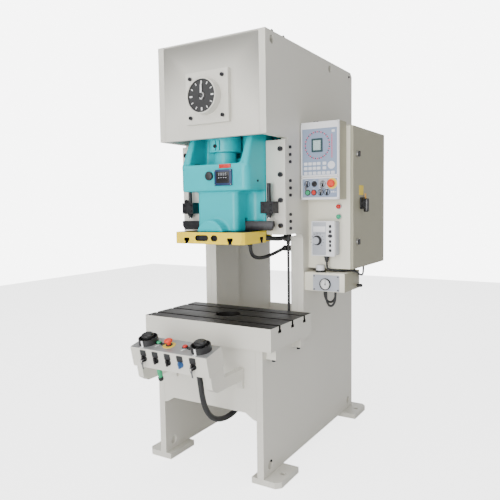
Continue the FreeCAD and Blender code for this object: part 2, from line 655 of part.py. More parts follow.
def slide_base():
    """The slotted plate bolted under the slide, with the shank bore."""
    low = d.slide_low - d.base_plate
    side = d.slide_half
    tail = side - d.base_step_in
    outline = [(-tail, d.base_rear), (-tail, d.base_step), (-side, d.base_step),
               (-side, d.base_front + d.base_bevel), (-side + d.base_bevel, d.base_front),
               (side - d.base_bevel, d.base_front), (side, d.base_front + d.base_bevel),
               (side, d.base_step), (tail, d.base_step), (tail, d.base_rear)]
    slab = plate("base_slab", "XY_Plane", outline, low, d.slide_low,
                 [(0, d.die_axis, d.shank_bore)])
    tools = []
    mouth, foot = d.base_slot_mouth / 2, d.base_slot_wide / 2
    top = low + d.base_slot_deep
    shoulder = top - d.base_slot_head
    run = (d.base_front - 1, d.base_rear + 1)
    for i, across in enumerate((-d.base_slot_x, d.base_slot_x)):
        tools.append(fused(
            f"base_slot_{i}",
            box(f"base_mouth_{i}", (across - mouth, across + mouth), run, (low - 1, top)),
            box(f"base_foot_{i}", (across - foot, across + foot), run, (shoulder, top))))
    for i, ends in enumerate(((-side - 1, d.end_slot_long - side),
                              (side - d.end_slot_long, side + 1))):
        tools.append(fused(
            f"end_slot_{i}",
            box(f"end_mouth_{i}", ends, (crank_y - mouth, crank_y + mouth), (low - 1, top)),
            box(f"end_foot_{i}", ends, (crank_y - foot, crank_y + foot), (shoulder, top))))
    hole_z = low + d.base_plate / 2
    sunk = d.base_hole_deep + 1
    for i, (start, end) in enumerate(((-62, -12), (32, 42))):
        tools.append(fused(
            f"base_oval_{i}",
            rod(f"oval_left_{i}", (start, d.base_front - 1, hole_z), d.base_hole, sunk, "y"),
            rod(f"oval_right_{i}", (end, d.base_front - 1, hole_z), d.base_hole, sunk, "y"),
            box(f"oval_middle_{i}", (start, end), (d.base_front - 1, d.base_front - 1 + sunk),
                (hole_z - d.base_hole, hole_z + d.base_hole))))
    node("slide_base", cut("base_piece", slab, fused("base_tools", *tools)))


def shank_clamp():
    """The half-round clamp in front of the tool shank, with its two bolts."""
    y0, y1 = d.boss_front, d.slide_nose_front
    low, top = d.slide_low, d.slide_low + d.boss_high
    block = box("clamp_block", (-d.boss_half, d.boss_half), (y0, y1), (low, top))
    block = rounded("clamp_round", block, 42,
                    lambda edge: upright(edge) and edge.CenterOfMass.y < y0.value + 1)
    bolts = []
    for i, side in enumerate((-1, 1)):
        at = (side * d.boss_bolt_x / 2, y0, low + d.boss_high / 2)
        bolts.append(socket_screw(f"clamp_bolt_{i}", at, 9, 9, "-y"))
    node("shank_clamp", group("clamp", block, *bolts))


def height_meter():
    """The counter that shows the die height, on the front of the slide box."""
    low = d.meter_low
    y1 = d.slide_box_front
    case = box("meter_case", (d.meter_x, d.meter_x + d.meter_wide), (y1 - d.meter_thick, y1),
               (low, low + d.meter_high))
    plug = rod("meter_plug", (d.plug_x, y1, low + d.plug_rise), d.plug, d.plug_thick, "-y")
    node("height_indicator", group("meter", case, plug))


def knockout():
    """The knock-out bar through the slide, and the stop brackets and bolts over its ends."""
    node("knockout_bar", box("bar", (-d.bar_half, d.bar_half),
                             (crank_y - d.bar_thick / 2, crank_y + d.bar_thick / 2),
                             (d.bar_low, d.bar_low + d.bar_high)))
    face = d.jaw_front - d.cover_plate
    axis_y = face - d.stop_axis
    block = box("stop_block", (d.stop_x - d.stop_wide / 2, d.stop_x + d.stop_wide / 2),
                (face - d.stop_out, face), (d.stop_low, d.stop_low + d.stop_high))
    hole = rod("stop_hole", (d.stop_x, axis_y, d.stop_low - 1), d.stop_rod + d.running_gap,
               d.stop_high + 2)
    node("stop_brackets", pair("brackets", cut("stop_bracket", block, hole)))
    long = d.stop_top - d.stop_tip
    profile = [(0, 0), (d.stop_rod, 0), (d.stop_rod, long), (0, long)]
    for side, name in ((1, "right"), (-1, "left")):
        bolt = turned(f"stop_{name}", profile, (side * d.stop_x, axis_y, d.stop_tip))
        node(f"stop_bolt_{name}", bolt)


def drive():
    """Motor on its shelf, its pulley, the flywheel with its clutch hub, and the belts."""
    z = d.crank_height
    motor_z = d.jaw_bottom + d.motor_shelf + d.motor_rise
    y0 = d.wheel_front
    wide = d.wheel_wide
    groove = wheel_radius - d.belt_thick
    rim_in = wheel_radius - 60
    wheel = [(d.journal + d.running_gap, 0), (rim_in, 0), (wheel_radius, 0),
             (wheel_radius, 4), (groove, 4), (groove, d.belt_seat), (wheel_radius, d.belt_seat),
             (wheel_radius, wide), (rim_in, wide), (rim_in, wide - 30),
             (110, wide - 30), (110, wide), (d.journal + d.running_gap, wide)]
    node("flywheel", turned("wheel", wheel, (0, y0, z), "y"))
    small_groove = d.pulley_radius
    pulley = [(d.motor_shaft, 0), (small_groove + 8, 0), (small_groove + 8, 4),
              (small_groove, 4), (small_groove, d.belt_seat), (small_groove + 8, d.belt_seat),
              (small_groove + 8, d.belt_seat + 4), (d.motor_shaft, d.belt_seat + 4)]
    node("motor_pulley", turned("pulley", pulley, (0, y0, motor_z), "y"))
    front = d.motor_front
    case = rod("motor_case", (0, front, motor_z), d.motor_radius, d.motor_long, "y")
    stub = rod("motor_stub", (0, front + d.motor_long - 1, motor_z), d.motor_shaft - d.running_gap,
               y0 + d.belt_seat + 4 - front - d.motor_long + 1, "y")
    pad = box("motor_feet", (-90, 90), (front + 30, front + d.motor_long - 40),
              (d.jaw_bottom + d.motor_shelf, motor_z - d.motor_radius + 20))
    terminal = box("motor_box", (-45, 45), (front + 90, front + 190),
                   (motor_z + d.motor_radius - 15, motor_z + d.motor_radius + 40))
    node("drive_motor", fused("motor_solid", case, stub, pad, terminal))
    node("drive_belts", belts(motor_z, y0, groove + d.belt_gap, small_groove + d.belt_gap))


def belts(motor_z, start, big, small):
    """Vee belts around the flywheel and the motor pulley, one solid each."""
    high, low = d.crank_height.value, motor_z.value
    apart = high - low
    rings = []
    for extra in (0, d.belt_thick.value):
        top, bottom = big.value + extra, small.value + extra
        lean = math.asin((top - bottom) / apart)
        across, up = math.cos(lean), -math.sin(lean)
        right_top = Vector(top * across, 0, high + top * up)
        left_top = Vector(-top * across, 0, high + top * up)
        right_low = Vector(bottom * across, 0, low + bottom * up)
        left_low = Vector(-bottom * across, 0, low + bottom * up)
        crown, trough = Vector(0, 0, high + top), Vector(0, 0, low - bottom)
        rings.append(Part.Wire([
            Part.Arc(left_top, crown, right_top).toShape(),
            Part.LineSegment(right_top, right_low).toShape(),
            Part.Arc(right_low, trough, left_low).toShape(),
            Part.LineSegment(left_low, left_top).toShape()]))
    band = Part.Face(rings[1]).cut(Part.Face(rings[0]))
    loops = []
    for i in range(int(d.belt_count.value)):
        loop = doc.addObject("Part::Feature", f"belt_{i}")
        loop.Shape = band.extrude(Vector(0, d.belt_wide.value, 0))
        place(loop, (0, start + 5 + i * d.belt_pitch, 0))
        loops.append(loop)
    return group("belt_set", *loops)


def rear_guard():
    """The folded sheet cover over the back of the drive."""
    y1 = d.frame_rear
    top = d.frame_height - d.rear_chamfer - 2
    shell = box("guard_block", (-inner, inner), (y1 - d.guard_deep, y1), (d.guard_low, top))
    hollow = box("guard_hollow", (d.guard_sheet - inner, inner - d.guard_sheet),
                 (y1 - d.guard_deep - 1, y1 - d.guard_sheet),
                 (d.guard_low + d.guard_sheet, top - d.guard_sheet))
    node("rear_guard", cut("guard", shell, hollow))


def cabinet():
    """The electrical cabinet with its lamps, its door, latches and main switch."""
    x0, x1 = half, half + d.cabinet_deep
    y0, y1 = d.cabinet_front, d.cabinet_rear
    z0, z1 = d.cabinet_low, d.cabinet_top
    t = d.sheet
    shell = cut("cabinet_case", box("cabinet_block", (x0, x1), (y0, y1), (z0, z1)),
                box("cabinet_room", (x0 + t, x1 + 1), (y0 + t, y1 - t), (z0 + t, z1 - t)))
    lamps = []
    for i in range(2):
        at = (half + d.lamp_in, y0, d.lamp_high - i * d.lamp_pitch)
        lamps.append(rod(f"lamp_{i}", at, d.lamp, 16, "-y"))
    node("cabinet_shell", group("cabinet", shell, *lamps))
    near = x1 + d.door_gap
    door = cut("door_pan", box("door_block", (near, near + d.door_deep), (y0, y1), (z0, z1)),
               box("door_room", (near - 1, near + d.door_deep - t), (y0 + t, y1 - t),
                   (z0 + t, z1 - t)))
    node("cabinet_door", door)
    face = near + d.door_deep
    for name, z in (("top", z1 - d.latch_inset), ("bottom", z0 + d.latch_inset)):
        plug = rod(f"latch_{name}_plug", (face + 0.3, d.latch_y, z), d.latch, 10, "x")
        wing = box(f"latch_{name}_wing", (face + 8, face + 18),
                   (d.latch_y - 3, d.latch_y + 3), (z - 14, z + 14))
        node(f"door_latch_{name}", fused(f"latch_{name}", plug, wing))
    disc = rod("switch_disc", (face + 0.3, d.switch_y, d.switch_z), 32, 12, "x")
    grip = box("switch_grip", (face + 11, face + 38), (d.switch_y - 9, d.switch_y + 9),
               (d.switch_z - 30, d.switch_z + 30))
    node("main_switch", fused("switch", disc, grip))


def ring_at(name, at, radius, wall, high, turn):
    """A bezel ring that stands on a face."""
    return cut(name, rod(name + "_out", at, size(radius) + wall, high, turn),
               rod(name + "_in", at, radius, size(high) + 1, turn))


def push_button(name, radius=11, high=10):
    """A push-button cap that travels inside its bezel, along its own +Z."""
    return turned(name, [(0, 0), (radius, 0), (radius, high - 2), (radius - 2, high),
                         (0, high)], (0, 0, 0))


def mushroom(name, radius, stem, rise, high):
    """A mushroom head on its stem, along its own +Z."""
    return turned(name, [(0, 0), (stem, 0), (stem, rise), (radius - 3, rise),
                         (radius, rise + 4), (radius, high - 6), (radius - 8, high),
                         (0, high)], (0, 0, 0))


def selector(name, radius=13, high=15):
    """A selector knob with its finger bar, along its own +Z."""
    disc = rod(name + "_disc", (0, 0, 0), radius, 7)
    bar = box(name + "_bar", (-4, 4), (-radius - 2, radius + 2), (6, high))
    return fused(name + "_knob", disc, bar)


BEZEL = 4.5


def operator_panel():
    """The panel box beside the head, with its screen, bezels and eight controls."""
    y0 = d.panel_front
    x0 = half + d.panel_gap
    x1 = x0 + d.panel_wide
    case = box("panel_case", (x0, x1), (y0, d.cabinet_front),
               (d.panel_low, d.panel_top))
    lip = d.panel_lip
    recesses = [box("panel_low_recess", (x0 + lip, x1 - lip),
                    (y0 - 1, y0 + 3), (d.panel_low + lip, d.panel_split)),
                box("panel_high_recess", (x0 + lip, x1 - lip),
                    (y0 - 1, y0 + 3), (d.panel_split + lip, d.panel_top - lip))]
    face = y0 + 3
    middle = (x0 + x1) / 2
    upper_z, lower_z = d.panel_split - 36, d.panel_split - 79
    spots = {"panel_key": (-68, upper_z), "panel_black_button": (-28, upper_z),
             "panel_mode_lock": (18, upper_z), "panel_stop": (67, upper_z),
             "panel_green_button": (-65, lower_z), "panel_red_button": (-31, lower_z),
             "panel_selector_left": (6, lower_z), "panel_selector_right": (40, lower_z)}
    rings = []
    for name, (across, z) in spots.items():
        at = (middle + across, face, z)
        if name == "panel_stop":
            rings.append(ring_at(name + "_ring", at, 9.3, 6, 8, "-y"))
            cap = mushroom(name + "_cap", 20, 9, 14, 30)
        elif "button" in name:
            rings.append(ring_at(name + "_ring", at, 11.3, 3, BEZEL + 4, "-y"))
            cap = push_button(name + "_cap")
        else:
            cap = selector(name)
        gap = BEZEL if "button" in name or "stop" in name else d.slide_gap
        piece = group(name + "_placed", cap)
        node(name, place(piece, (middle + across, face - gap, z), "-y"))
    screen = box("panel_display", (middle - 41, middle + 17), (face - 6, face),
                 (d.panel_split + 122, d.panel_split + 189))
    node("panel_housing", group("panel", fused("panel_solid", cut("panel_shell", case,
                                                                  *recesses), *rings), screen))


def speed_box():
    """The variable-speed box with its cable gland and its knob."""
    x0 = half + d.speed_gap
    case = box("speed_case", (x0, x0 + d.speed_wide), (d.speed_front, d.cabinet_front),
               (d.speed_low, d.speed_top))
    case = rounded("speed_round", case, 8, lambda edge: upright(edge, "y"))
    gland = rod("speed_gland", (x0 + d.gland_in, d.gland_y, d.speed_low), d.gland, d.gland_long, "-z")
    node("speed_box", group("speed_unit", case, gland))
    knob = turned("speed_dial", [(0, 0), (25, 0), (25, 6), (20, 8), (18, 22), (0, 22)],
                  (x0 + d.speed_knob_in, d.speed_front - 0.3, d.speed_knob_z), "-y")
    node("speed_knob", knob)


def air_box():
    """The air service box with its gauge, regulator and side silencer."""
    x1 = half + d.air_wide
    gauge_x = half + d.gauge_in
    regulator_x = half + d.regulator_in
    case = box("air_case", (half, x1), (d.air_front, d.air_rear),
               (d.air_low, d.air_top))
    gauge = ring_at("gauge_case", (gauge_x, d.air_front, d.gauge_z), d.gauge - 2, 2,
                    d.gauge_proud, "-y")
    plate_disc = rod("gauge_plate", (gauge_x, d.air_front, d.gauge_z), d.gauge - 2, 4, "-y")
    neck = rod("regulator_neck", (regulator_x, d.regulator_y, d.air_top), 14, 8)
    silencer = rod("silencer", (x1, 46, 869 + 12), 9, 28, "x")
    node("air_box", group("air_unit", fused("air_solid", case, gauge, plate_disc, neck),
                          silencer))
    hand = plate("needle_hand", "XZ_Plane", [(-2, -6), (2, -6), (0.6, 22), (-0.6, 22)],
                 -1.5, 0)
    hub = rod("needle_hub", (0, 0.7, 0), 3, 4, "-y")
    needle = fused("needle", hand, hub)
    placed = group("needle_placed", needle)
    node("gauge_needle", place(placed, (gauge_x, d.air_front - 5, d.gauge_z)))
    knob = turned("regulator_cap", [(0, 0), (d.regulator, 0), (d.regulator, 18),
                                    (d.regulator - 3, 30), (0, 30)],
                  (regulator_x, d.regulator_y, d.air_top + 8.3))
    node("regulator_knob", knob)


def at_desk(name, thing):
    """Tilts a piece from the control box's own frame into the machine's."""
    piece = group(name + "_tilted", thing)
    piece.Placement = Placement(Vector(), Rotation(Vector(1, 0, 0), SIZES["desk_tilt"]))
    bind(piece, "Placement.Rotation.Angle", d.desk_tilt)
    bind(piece, "Placement.Base.y", d.desk_front)
    bind(piece, "Placement.Base.z", d.desk_top)
    return piece


def control_desk():
    """The two-hand control box on its arms. Its own frame starts at the front top edge."""
    case = box("desk_case", (-d.desk_half, d.desk_half), (0, d.desk_deep), (-d.desk_high, 0))
    case = rounded("desk_round_case", case, d.desk_round, lambda edge: upright(edge, "y"))
    rings = []
    top_items = {"palm_button_left": -d.palm_x, "palm_button_right": d.palm_x,
                 "desk_green_button": -d.desk_button_x, "desk_stop": d.desk_stop_x,
                 "desk_red_button": d.desk_button_x - 26}
    for name, across in top_items.items():
        at = (across, d.palm_depth, 0)
        if "palm" in name:
            rings.append(ring_at(name + "_ring", at, 12.3, 8, 12, "z"))
            rings.append(ring_at(name + "_guard", at, d.guard_ring, d.guard_wall,
                                 d.guard_high, "z"))
            cap = mushroom(name + "_cap", 30, 12, 18, 40)
            gap = 8
        elif name == "desk_stop":
            rings.append(ring_at(name + "_ring", at, 9.3, 6, 8, "z"))
            cap = mushroom(name + "_cap", 20, 9, 14, 30)
            gap = BEZEL
        else:
            rings.append(ring_at(name + "_ring", at, 11.3, 3, BEZEL + 4, "z"))
            cap = push_button(name + "_cap")
            gap = BEZEL
        piece = place(group(name + "_placed", cap), (across, d.palm_depth, gap))
        node(name, at_desk(name, piece))
    for i in range(5):
        across = (i - 2) * d.selector_pitch
        name = f"desk_selector_{i + 1}"
        piece = place(group(name + "_placed", selector(name)),
                      (across, -d.slide_gap, -d.desk_high / 2), "-y")
        node(name, at_desk(name, piece))
    node("control_box", at_desk("desk", fused("desk_solid", case, *rings)))


def control_arms():
    """Two brackets that carry the control box from the bed front plate."""
    slope = math.tan(math.radians(SIZES["desk_tilt"]))
    lean = math.sin(math.radians(SIZES["desk_tilt"]))
    drop = math.cos(math.radians(SIZES["desk_tilt"]))
    under_y = d.desk_front + d.desk_high * lean
    under_z = d.desk_top - d.desk_high * drop
    outline = [(d.leg_front, d.arm_plate_low), (d.leg_front, d.arm_top),
               (under_y + 122, d.arm_top), (under_y + 110, under_z + slope * 110),
               (under_y + 14, under_z + slope * 14), (under_y + 26, d.arm_low + 22),
               (under_y + 60, d.arm_low), (d.leg_front - 24, d.arm_low),
               (d.leg_front - 14, d.arm_plate_low)]
    arm = plate("arm_right", "YZ_Plane", outline, d.arm_x, d.arm_x + d.arm_wide)
    node("control_arms", pair("arms", arm))


CONDUIT_ROUTE = [(129, -833, 587.3), (129, -820, 531), (123, -802, 464), (114, -768, 396),
                 (107, -716, 337), (105, -652, 303), (116, -586, 297), (132, -528, 320),
                 (141, -488, 370), (143, -472, 434), (143, -472, 500)]
SLIDE_HOSE_ROUTE = [(160, -432, 1128), (160, -432, 1096), (157, -404, 1063),
                    (156, -350, 1047), (162, -290, 1047), (178, -232, 1060),
                    (200, -188, 1078), (206, -166, 1085), (206, -150, 1085)]
SLIDE_CONDUIT_ROUTE = [(189, -352, 1150), (189, -320, 1150), (196, -268, 1142),
                       (212, -222, 1139), (222, -196, 1143), (222, -172, 1143)]
RISER_ROUTE = [(231, -162, 648), (231, -162, 752), (232, -163, 870), (231, -162, 990),
               (231, -162, 1122)]
LOOP_ROUTES = [[(395, -46, 865), (395, -46, 826), (399, -46, 796), (411, -46, 775),
                (430, -46, 775), (443, -46, 796), (448, -46, 826), (448, -46, 865)],
               [(368, -6, 865), (368, -6, 832), (373, -5, 806), (389, -4, 788),
                (410, -4, 788), (426, -3, 806), (431, -2, 832), (431, -2, 865)]]
CABLE_ROUTE = [(427, -111, 1016), (427, -111, 996), (434, -110, 980), (453, -99, 973),
               (478, -80, 971), (504, -56, 971), (530, -31, 970), (547, 2, 960),
               (549, 44, 940), (547, 86, 932), (541, 117, 940), (540, 124, 958),
               (540, 124, 980)]


def hoses():
    """Conduits, hoses and cables, with the sockets and the clamp that hold their ends."""
    bed_socket = box("bed_socket", (113, 173), (-504, -442), (500, 530))
    bed_bracket = box("bed_bracket", (113, 173), (d.leg_front + d.bed_front_plate, -503),
                      (500, 530))
    node("control_conduit", hose("conduit_tube", CONDUIT_ROUTE, d.conduit))
    socket = fused("bed_socket_piece", bed_socket, bed_bracket)
    elbow = box("hose_elbow", (212, inner - d.liner_width), (-172, d.throat_face + 16),
                (1122, 1164))
    clamp = box("hose_clamp", (194, inner - d.liner_width), (-150, d.throat_face + 24),
                (1070, 1100))
    node("slide_hose", group("slide_lines", hose("slide_hose_tube", SLIDE_HOSE_ROUTE, d.hose),
                             hose("slide_conduit", SLIDE_CONDUIT_ROUTE, 12)))
    tubes = [hose("riser", RISER_ROUTE, 7)]
    tubes += [hose(f"loop_{i}", route, d.cable) for i, route in enumerate(LOOP_ROUTES)]
    tubes.append(hose("speed_cable", CABLE_ROUTE, 5))
    node("air_hoses", group("hose_set", *tubes, socket, elbow, clamp))


side_plates()
throat_liners()
foot_plates()
cross_plates()
bearing_walls()
slide_ways()
frame_screws()
bolster()
crank_dial()
crankshaft()
connecting_rod()
slide()
slide_base()
shank_clamp()
height_meter()
knockout()
drive()
rear_guard()
cabinet()
operator_panel()
speed_box()
air_box()
control_desk()
control_arms()
hoses()
doc.recompute()

for thing in doc.Objects:
    if "Invalid" in thing.State or "Error" in thing.State:
        raise RuntimeError(f"{thing.Name} did not build: {thing.State}")
os.makedirs("parts", exist_ok=True)
for piece in NODES:
    if piece.Shape.isNull() or not piece.Shape.isValid():
        raise RuntimeError(f"{piece.Label} has no sound shape")
for piece in NODES:
    piece.Shape.exportStep(f"parts/{piece.Label}.step")
print(len(NODES), "nodes")
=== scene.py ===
import json
import math

import bmesh
import bpy
from bpy.props import (BoolProperty, FloatProperty, FloatVectorProperty, IntProperty,
                       PointerProperty)
from mathutils import Matrix, Vector

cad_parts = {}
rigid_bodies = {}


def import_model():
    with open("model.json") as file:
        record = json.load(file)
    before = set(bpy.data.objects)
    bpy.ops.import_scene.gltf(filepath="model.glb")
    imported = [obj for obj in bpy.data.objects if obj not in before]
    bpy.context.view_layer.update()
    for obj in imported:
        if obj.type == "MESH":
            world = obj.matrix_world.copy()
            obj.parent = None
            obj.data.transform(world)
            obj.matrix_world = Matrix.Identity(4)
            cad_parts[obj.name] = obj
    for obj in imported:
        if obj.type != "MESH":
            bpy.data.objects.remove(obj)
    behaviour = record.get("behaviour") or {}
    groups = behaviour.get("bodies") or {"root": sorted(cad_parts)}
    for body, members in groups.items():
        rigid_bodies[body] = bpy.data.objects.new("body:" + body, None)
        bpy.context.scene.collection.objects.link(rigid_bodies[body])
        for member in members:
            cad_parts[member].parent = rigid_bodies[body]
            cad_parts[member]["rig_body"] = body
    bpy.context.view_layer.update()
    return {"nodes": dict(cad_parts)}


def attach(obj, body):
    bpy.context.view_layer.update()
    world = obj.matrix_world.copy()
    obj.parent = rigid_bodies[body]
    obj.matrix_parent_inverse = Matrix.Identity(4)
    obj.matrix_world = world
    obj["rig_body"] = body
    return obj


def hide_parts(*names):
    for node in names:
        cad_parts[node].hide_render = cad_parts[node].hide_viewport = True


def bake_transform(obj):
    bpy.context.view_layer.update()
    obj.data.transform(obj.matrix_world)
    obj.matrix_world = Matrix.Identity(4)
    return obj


bl_info = {
    "name": "Stamping Press Finish",
    "version": (1, 0, 0),
    "blender": (4, 5, 0),
    "location": "View3D > Sidebar > Press",
    "description": "Finishes a gap-frame stamping press around its construction model",
    "category": "Object",
}

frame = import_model()
MM = 0.001


# ---------------------------------------------------------------- user settings

def colour(name, description, default):
    """A colour setting, linear red, green and blue."""
    return FloatVectorProperty(name=name, description=description, subtype="COLOR", size=3,
                               min=0.0, max=1.0, default=default)


def length(name, description, default):
    """A length setting in metres."""
    return FloatProperty(name=name, description=description, unit="LENGTH", min=0.0,
                         default=default)


class PressColours(bpy.types.PropertyGroup):
    """Colours of the machine's finishes."""
    enamel: colour("Frame enamel", "Off-white paint of the welded frame", (0.72, 0.70, 0.63))
    slide: colour("Slide enamel", "Turquoise paint of the slide", (0.004, 0.50, 0.55))
    base: colour("Base plate", "Yellow paint of the slide base", (1.0, 0.70, 0.03))
    # The cabinet colour is the front's cream darkened: painted shade for the cabinet's side, door
    # and back faces.
    cabinet: colour("Cabinet", "Olive-beige paint of the cabinet", (0.39, 0.37, 0.27))
    steel: colour("Dark steel", "Oiled table top", (0.012, 0.011, 0.010))
    panel: colour("Panel face", "Blue-grey panel print", (0.26, 0.33, 0.47))


class PressSizes(bpy.types.PropertyGroup):
    """Sizes of the finishing details."""
    plate_edge: length("Plate edge", "Softened edge of the frame plates", 0.0022)
    part_edge: length("Part edge", "Softened edge of machined parts", 0.0012)
    ticks: IntProperty(name="Dial marks", description="Marks round the crank dial",
                       default=12, min=4, max=60)
    dots: IntProperty(name="Panel lights", description="Lights in the panel ring",
                      default=40, min=8, max=90)
    show_keys: BoolProperty(name="Hanging keys", description="Keys in the end switches",
                            default=True)


# ---------------------------------------------------------------- shader arithmetic

class Flow:
    """A shader socket that takes part in Python arithmetic."""

    def __init__(self, surface, socket):
        self.surface = surface
        self.socket = socket

    def _math(self, operation, first, second):
        return self.surface.node("ShaderNodeMath", {"operation": operation},
                                 {0: first, 1: second})

    def __add__(self, other):
        return self._math("ADD", self, other)

    __radd__ = __add__

    def __sub__(self, other):
        return self._math("SUBTRACT", self, other)

    def __rsub__(self, other):
        return self._math("SUBTRACT", other, self)

    def __mul__(self, other):
        return self._math("MULTIPLY", self, other)

    __rmul__ = __mul__

    def __truediv__(self, other):
        return self._math("DIVIDE", self, other)

    def __gt__(self, other):
        return self._math("GREATER_THAN", self, other)

    def __lt__(self, other):
        return self._math("LESS_THAN", self, other)


class Surface:
    """One material being built, with its Principled shader."""

    def __init__(self, name, base, roughness, metallic=0.0, **fixed):
        self.material = bpy.data.materials.new(name)
        self.material.use_nodes = True
        self.tree = self.material.node_tree
        self.shader = self.tree.nodes["Principled BSDF"]
        self.feed("Base Color", base)
        self.feed("Roughness", roughness)
        self.feed("Metallic", metallic)
        for socket, value in fixed.items():
            self.shader.inputs[socket.replace("_", " ")].default_value = value

    def node(self, kind, settings=None, values=None, output=0):
        """Any node: its settings first, then the values or links of its sockets."""
        made = self.tree.nodes.new(kind)
        for name, value in (settings or {}).items():
            if name == "stops":
                ramp = made.color_ramp.elements
                while len(ramp) < len(value):
                    ramp.new(0.5)
                for element, (place, tint) in zip(ramp, value):
                    element.position = place
                    element.color = (*tint, 1.0) if len(tint) == 3 else tint
            else:
                setattr(made, name, value)
        for name, value in (values or {}).items():
            self.join(value, made.inputs[name])
        return Flow(self, made.outputs[output])

    def join(self, value, socket):
        """Links a flow to a socket, or sets a plain value on it."""
        if isinstance(value, Flow):
            self.tree.links.new(value.socket, socket)
        elif socket.type == "RGBA" and len(value) == 3:
            socket.default_value = (*value, 1.0)
        else:
            socket.default_value = value

    def feed(self, name, value):
        """Feeds one socket of the shader."""
        self.join(value, self.shader.inputs[name])

    def place(self, scale=(1, 1, 1)):
        """Object coordinates in metres, stretched along each axis."""
        here = self.node("ShaderNodeTexCoord", output=3)
        return self.node("ShaderNodeVectorMath", {"operation": "MULTIPLY"},
                         {0: here, 1: scale})

    def noise(self, scale, detail=2.0, stretch=(1, 1, 1)):
        """Smooth noise from 0 to 1."""
        return self.node("ShaderNodeTexNoise", None,
                         {"Vector": self.place(stretch), "Scale": scale, "Detail": detail})

    def tint(self, factor, low, high):
        """A colour between two colours."""
        made = self.node("ShaderNodeMix", {"data_type": "RGBA"}, None, 2)
        mix = made.socket.node
        self.join(factor, mix.inputs[0])
        self.join(low, mix.inputs[6])
        self.join(high, mix.inputs[7])
        return made

    def bump(self, height, strength, distance):
        """A bump that feeds the shader's normal."""
        made = self.node("ShaderNodeBump", None, {"Height": height, "Strength": strength,
                                                  "Distance": distance})
        self.feed("Normal", made)


def shaded(base, amount):
    """The colour made lighter or darker by a share."""
    return tuple(min(1.0, c * amount) for c in base)


def enamel(name, base, roughness=0.38, coat=0.25, peel=420.0, **fixed):
    """Sprayed machine enamel: orange peel, faint cloudiness, slightly uneven gloss."""
    s = Surface(name, base, roughness, Coat_Weight=coat, Coat_Roughness=0.18, **fixed)
    cloud = s.noise(3.1, 3.0)
    fine = s.noise(38.0, 2.0)
    s.feed("Base Color", s.tint(cloud * 0.7 + fine * 0.3, shaded(base, 0.955),
                                shaded(base, 1.035)))
    s.feed("Roughness", fine * 0.10 + cloud * 0.06 + (roughness - 0.08))
    s.bump(s.noise(peel, 1.0), 0.10, 0.0006)
    return s.material


def ground(name, base, roughness=0.34, along=(260, 6, 260), metallic=1.0):
    """Ground or machined steel with fine lines along one direction."""
    s = Surface(name, base, roughness, metallic)
    lines = s.noise(1.0, 3.0, along)
    stain = s.noise(9.0, 4.0)
    s.feed("Base Color", s.tint(lines * 0.6 + stain * 0.4, shaded(base, 0.72),
                                shaded(base, 1.3)))
    s.feed("Roughness", lines * 0.16 + stain * 0.14 + (roughness - 0.14))
    s.bump(lines, 0.16, 0.0004)
    return s.material


def oiled(name, base):
    """The oiled dark table top: faint cross-hatched grinding and dull stains."""
    s = Surface(name, base, 0.42, 0.1, Specular_IOR_Level=0.22)
    first = s.noise(1.0, 2.0, (7, 240, 60))
    second = s.noise(1.0, 2.0, (180, 9, 60))
    stain = s.noise(6.5, 5.0)
    s.feed("Base Color", s.tint(stain * 0.7 + first * 0.3, shaded(base, 0.55),
                                shaded(base, 2.1)))
    s.feed("Roughness", stain * 0.26 + second * 0.12 + 0.26)
    s.bump(first + second, 0.10, 0.0004)
    return s.material


def moulded(name, base, roughness=0.42, grain=900.0, strength=0.12, **fixed):
    """Moulded plastic with a fine spark-eroded grain."""
    s = Surface(name, base, roughness, **fixed)
    cloud = s.noise(22.0, 2.0)
    s.feed("Base Color", s.tint(cloud, shaded(base, 0.92), shaded(base, 1.07)))
    s.feed("Roughness", cloud * 0.12 + (roughness - 0.06))
    s.bump(s.noise(grain, 1.0), strength, 0.0003)
    return s.material


def rubbery(name, base):
    """Rubber and nylon hose: matt, slightly dusty."""
    s = Surface(name, base, 0.55)
    dust = s.noise(30.0, 4.0)
    s.feed("Base Color", s.tint(dust, shaded(base, 0.8), shaded(base, 1.6)))
    s.feed("Roughness", dust * 0.25 + 0.38)
    s.bump(s.noise(700.0, 1.0), 0.15, 0.0003)
    return s.material


def blackened(name, base=(0.022, 0.022, 0.024)):
    """Blackened screws and blocks with rubbed, brighter high spots."""
    s = Surface(name, base, 0.42, 0.6)
    rub = s.noise(60.0, 4.0)
    s.feed("Base Color", s.tint(rub, shaded(base, 0.7), shaded(base, 2.0)))
    s.feed("Roughness", rub * 0.24 + 0.26)
    s.bump(s.noise(500.0, 2.0), 0.14, 0.0003)
    return s.material


def display(name, base, lines, row=0.0042):
    """A liquid-crystal window: pale, with faint dark rows of generic marks."""
    s = Surface(name, base, 0.16, Coat_Weight=0.6, Coat_Roughness=0.05)
    here = s.place((1 / row, 1.0, 1 / row))
    split = s.node("ShaderNodeSeparateXYZ", None, {0: here}, 2)
    band = s.node("ShaderNodeMath", {"operation": "FRACT"}, {0: split})
    marks = s.noise(1.0, 0.0, (900, 1, 230))
    printed = (band > 0.45) * (marks > 0.52)
    s.feed("Base Color", s.tint(printed, base, lines))
    s.bump(printed, 0.02, 0.0002)
    return s.material


def glowing(name, base, strength):
    """A small indicator light with a faint glow."""
    s = Surface(name, base, 0.25, Emission_Strength=strength)
    patch = s.noise(400.0, 1.0)
    s.feed("Base Color", s.tint(patch, shaded(base, 0.85), shaded(base, 1.1)))
    s.feed("Emission Color", s.tint(patch, shaded(base, 0.8), base))
    return s.material


FINISHES = {}


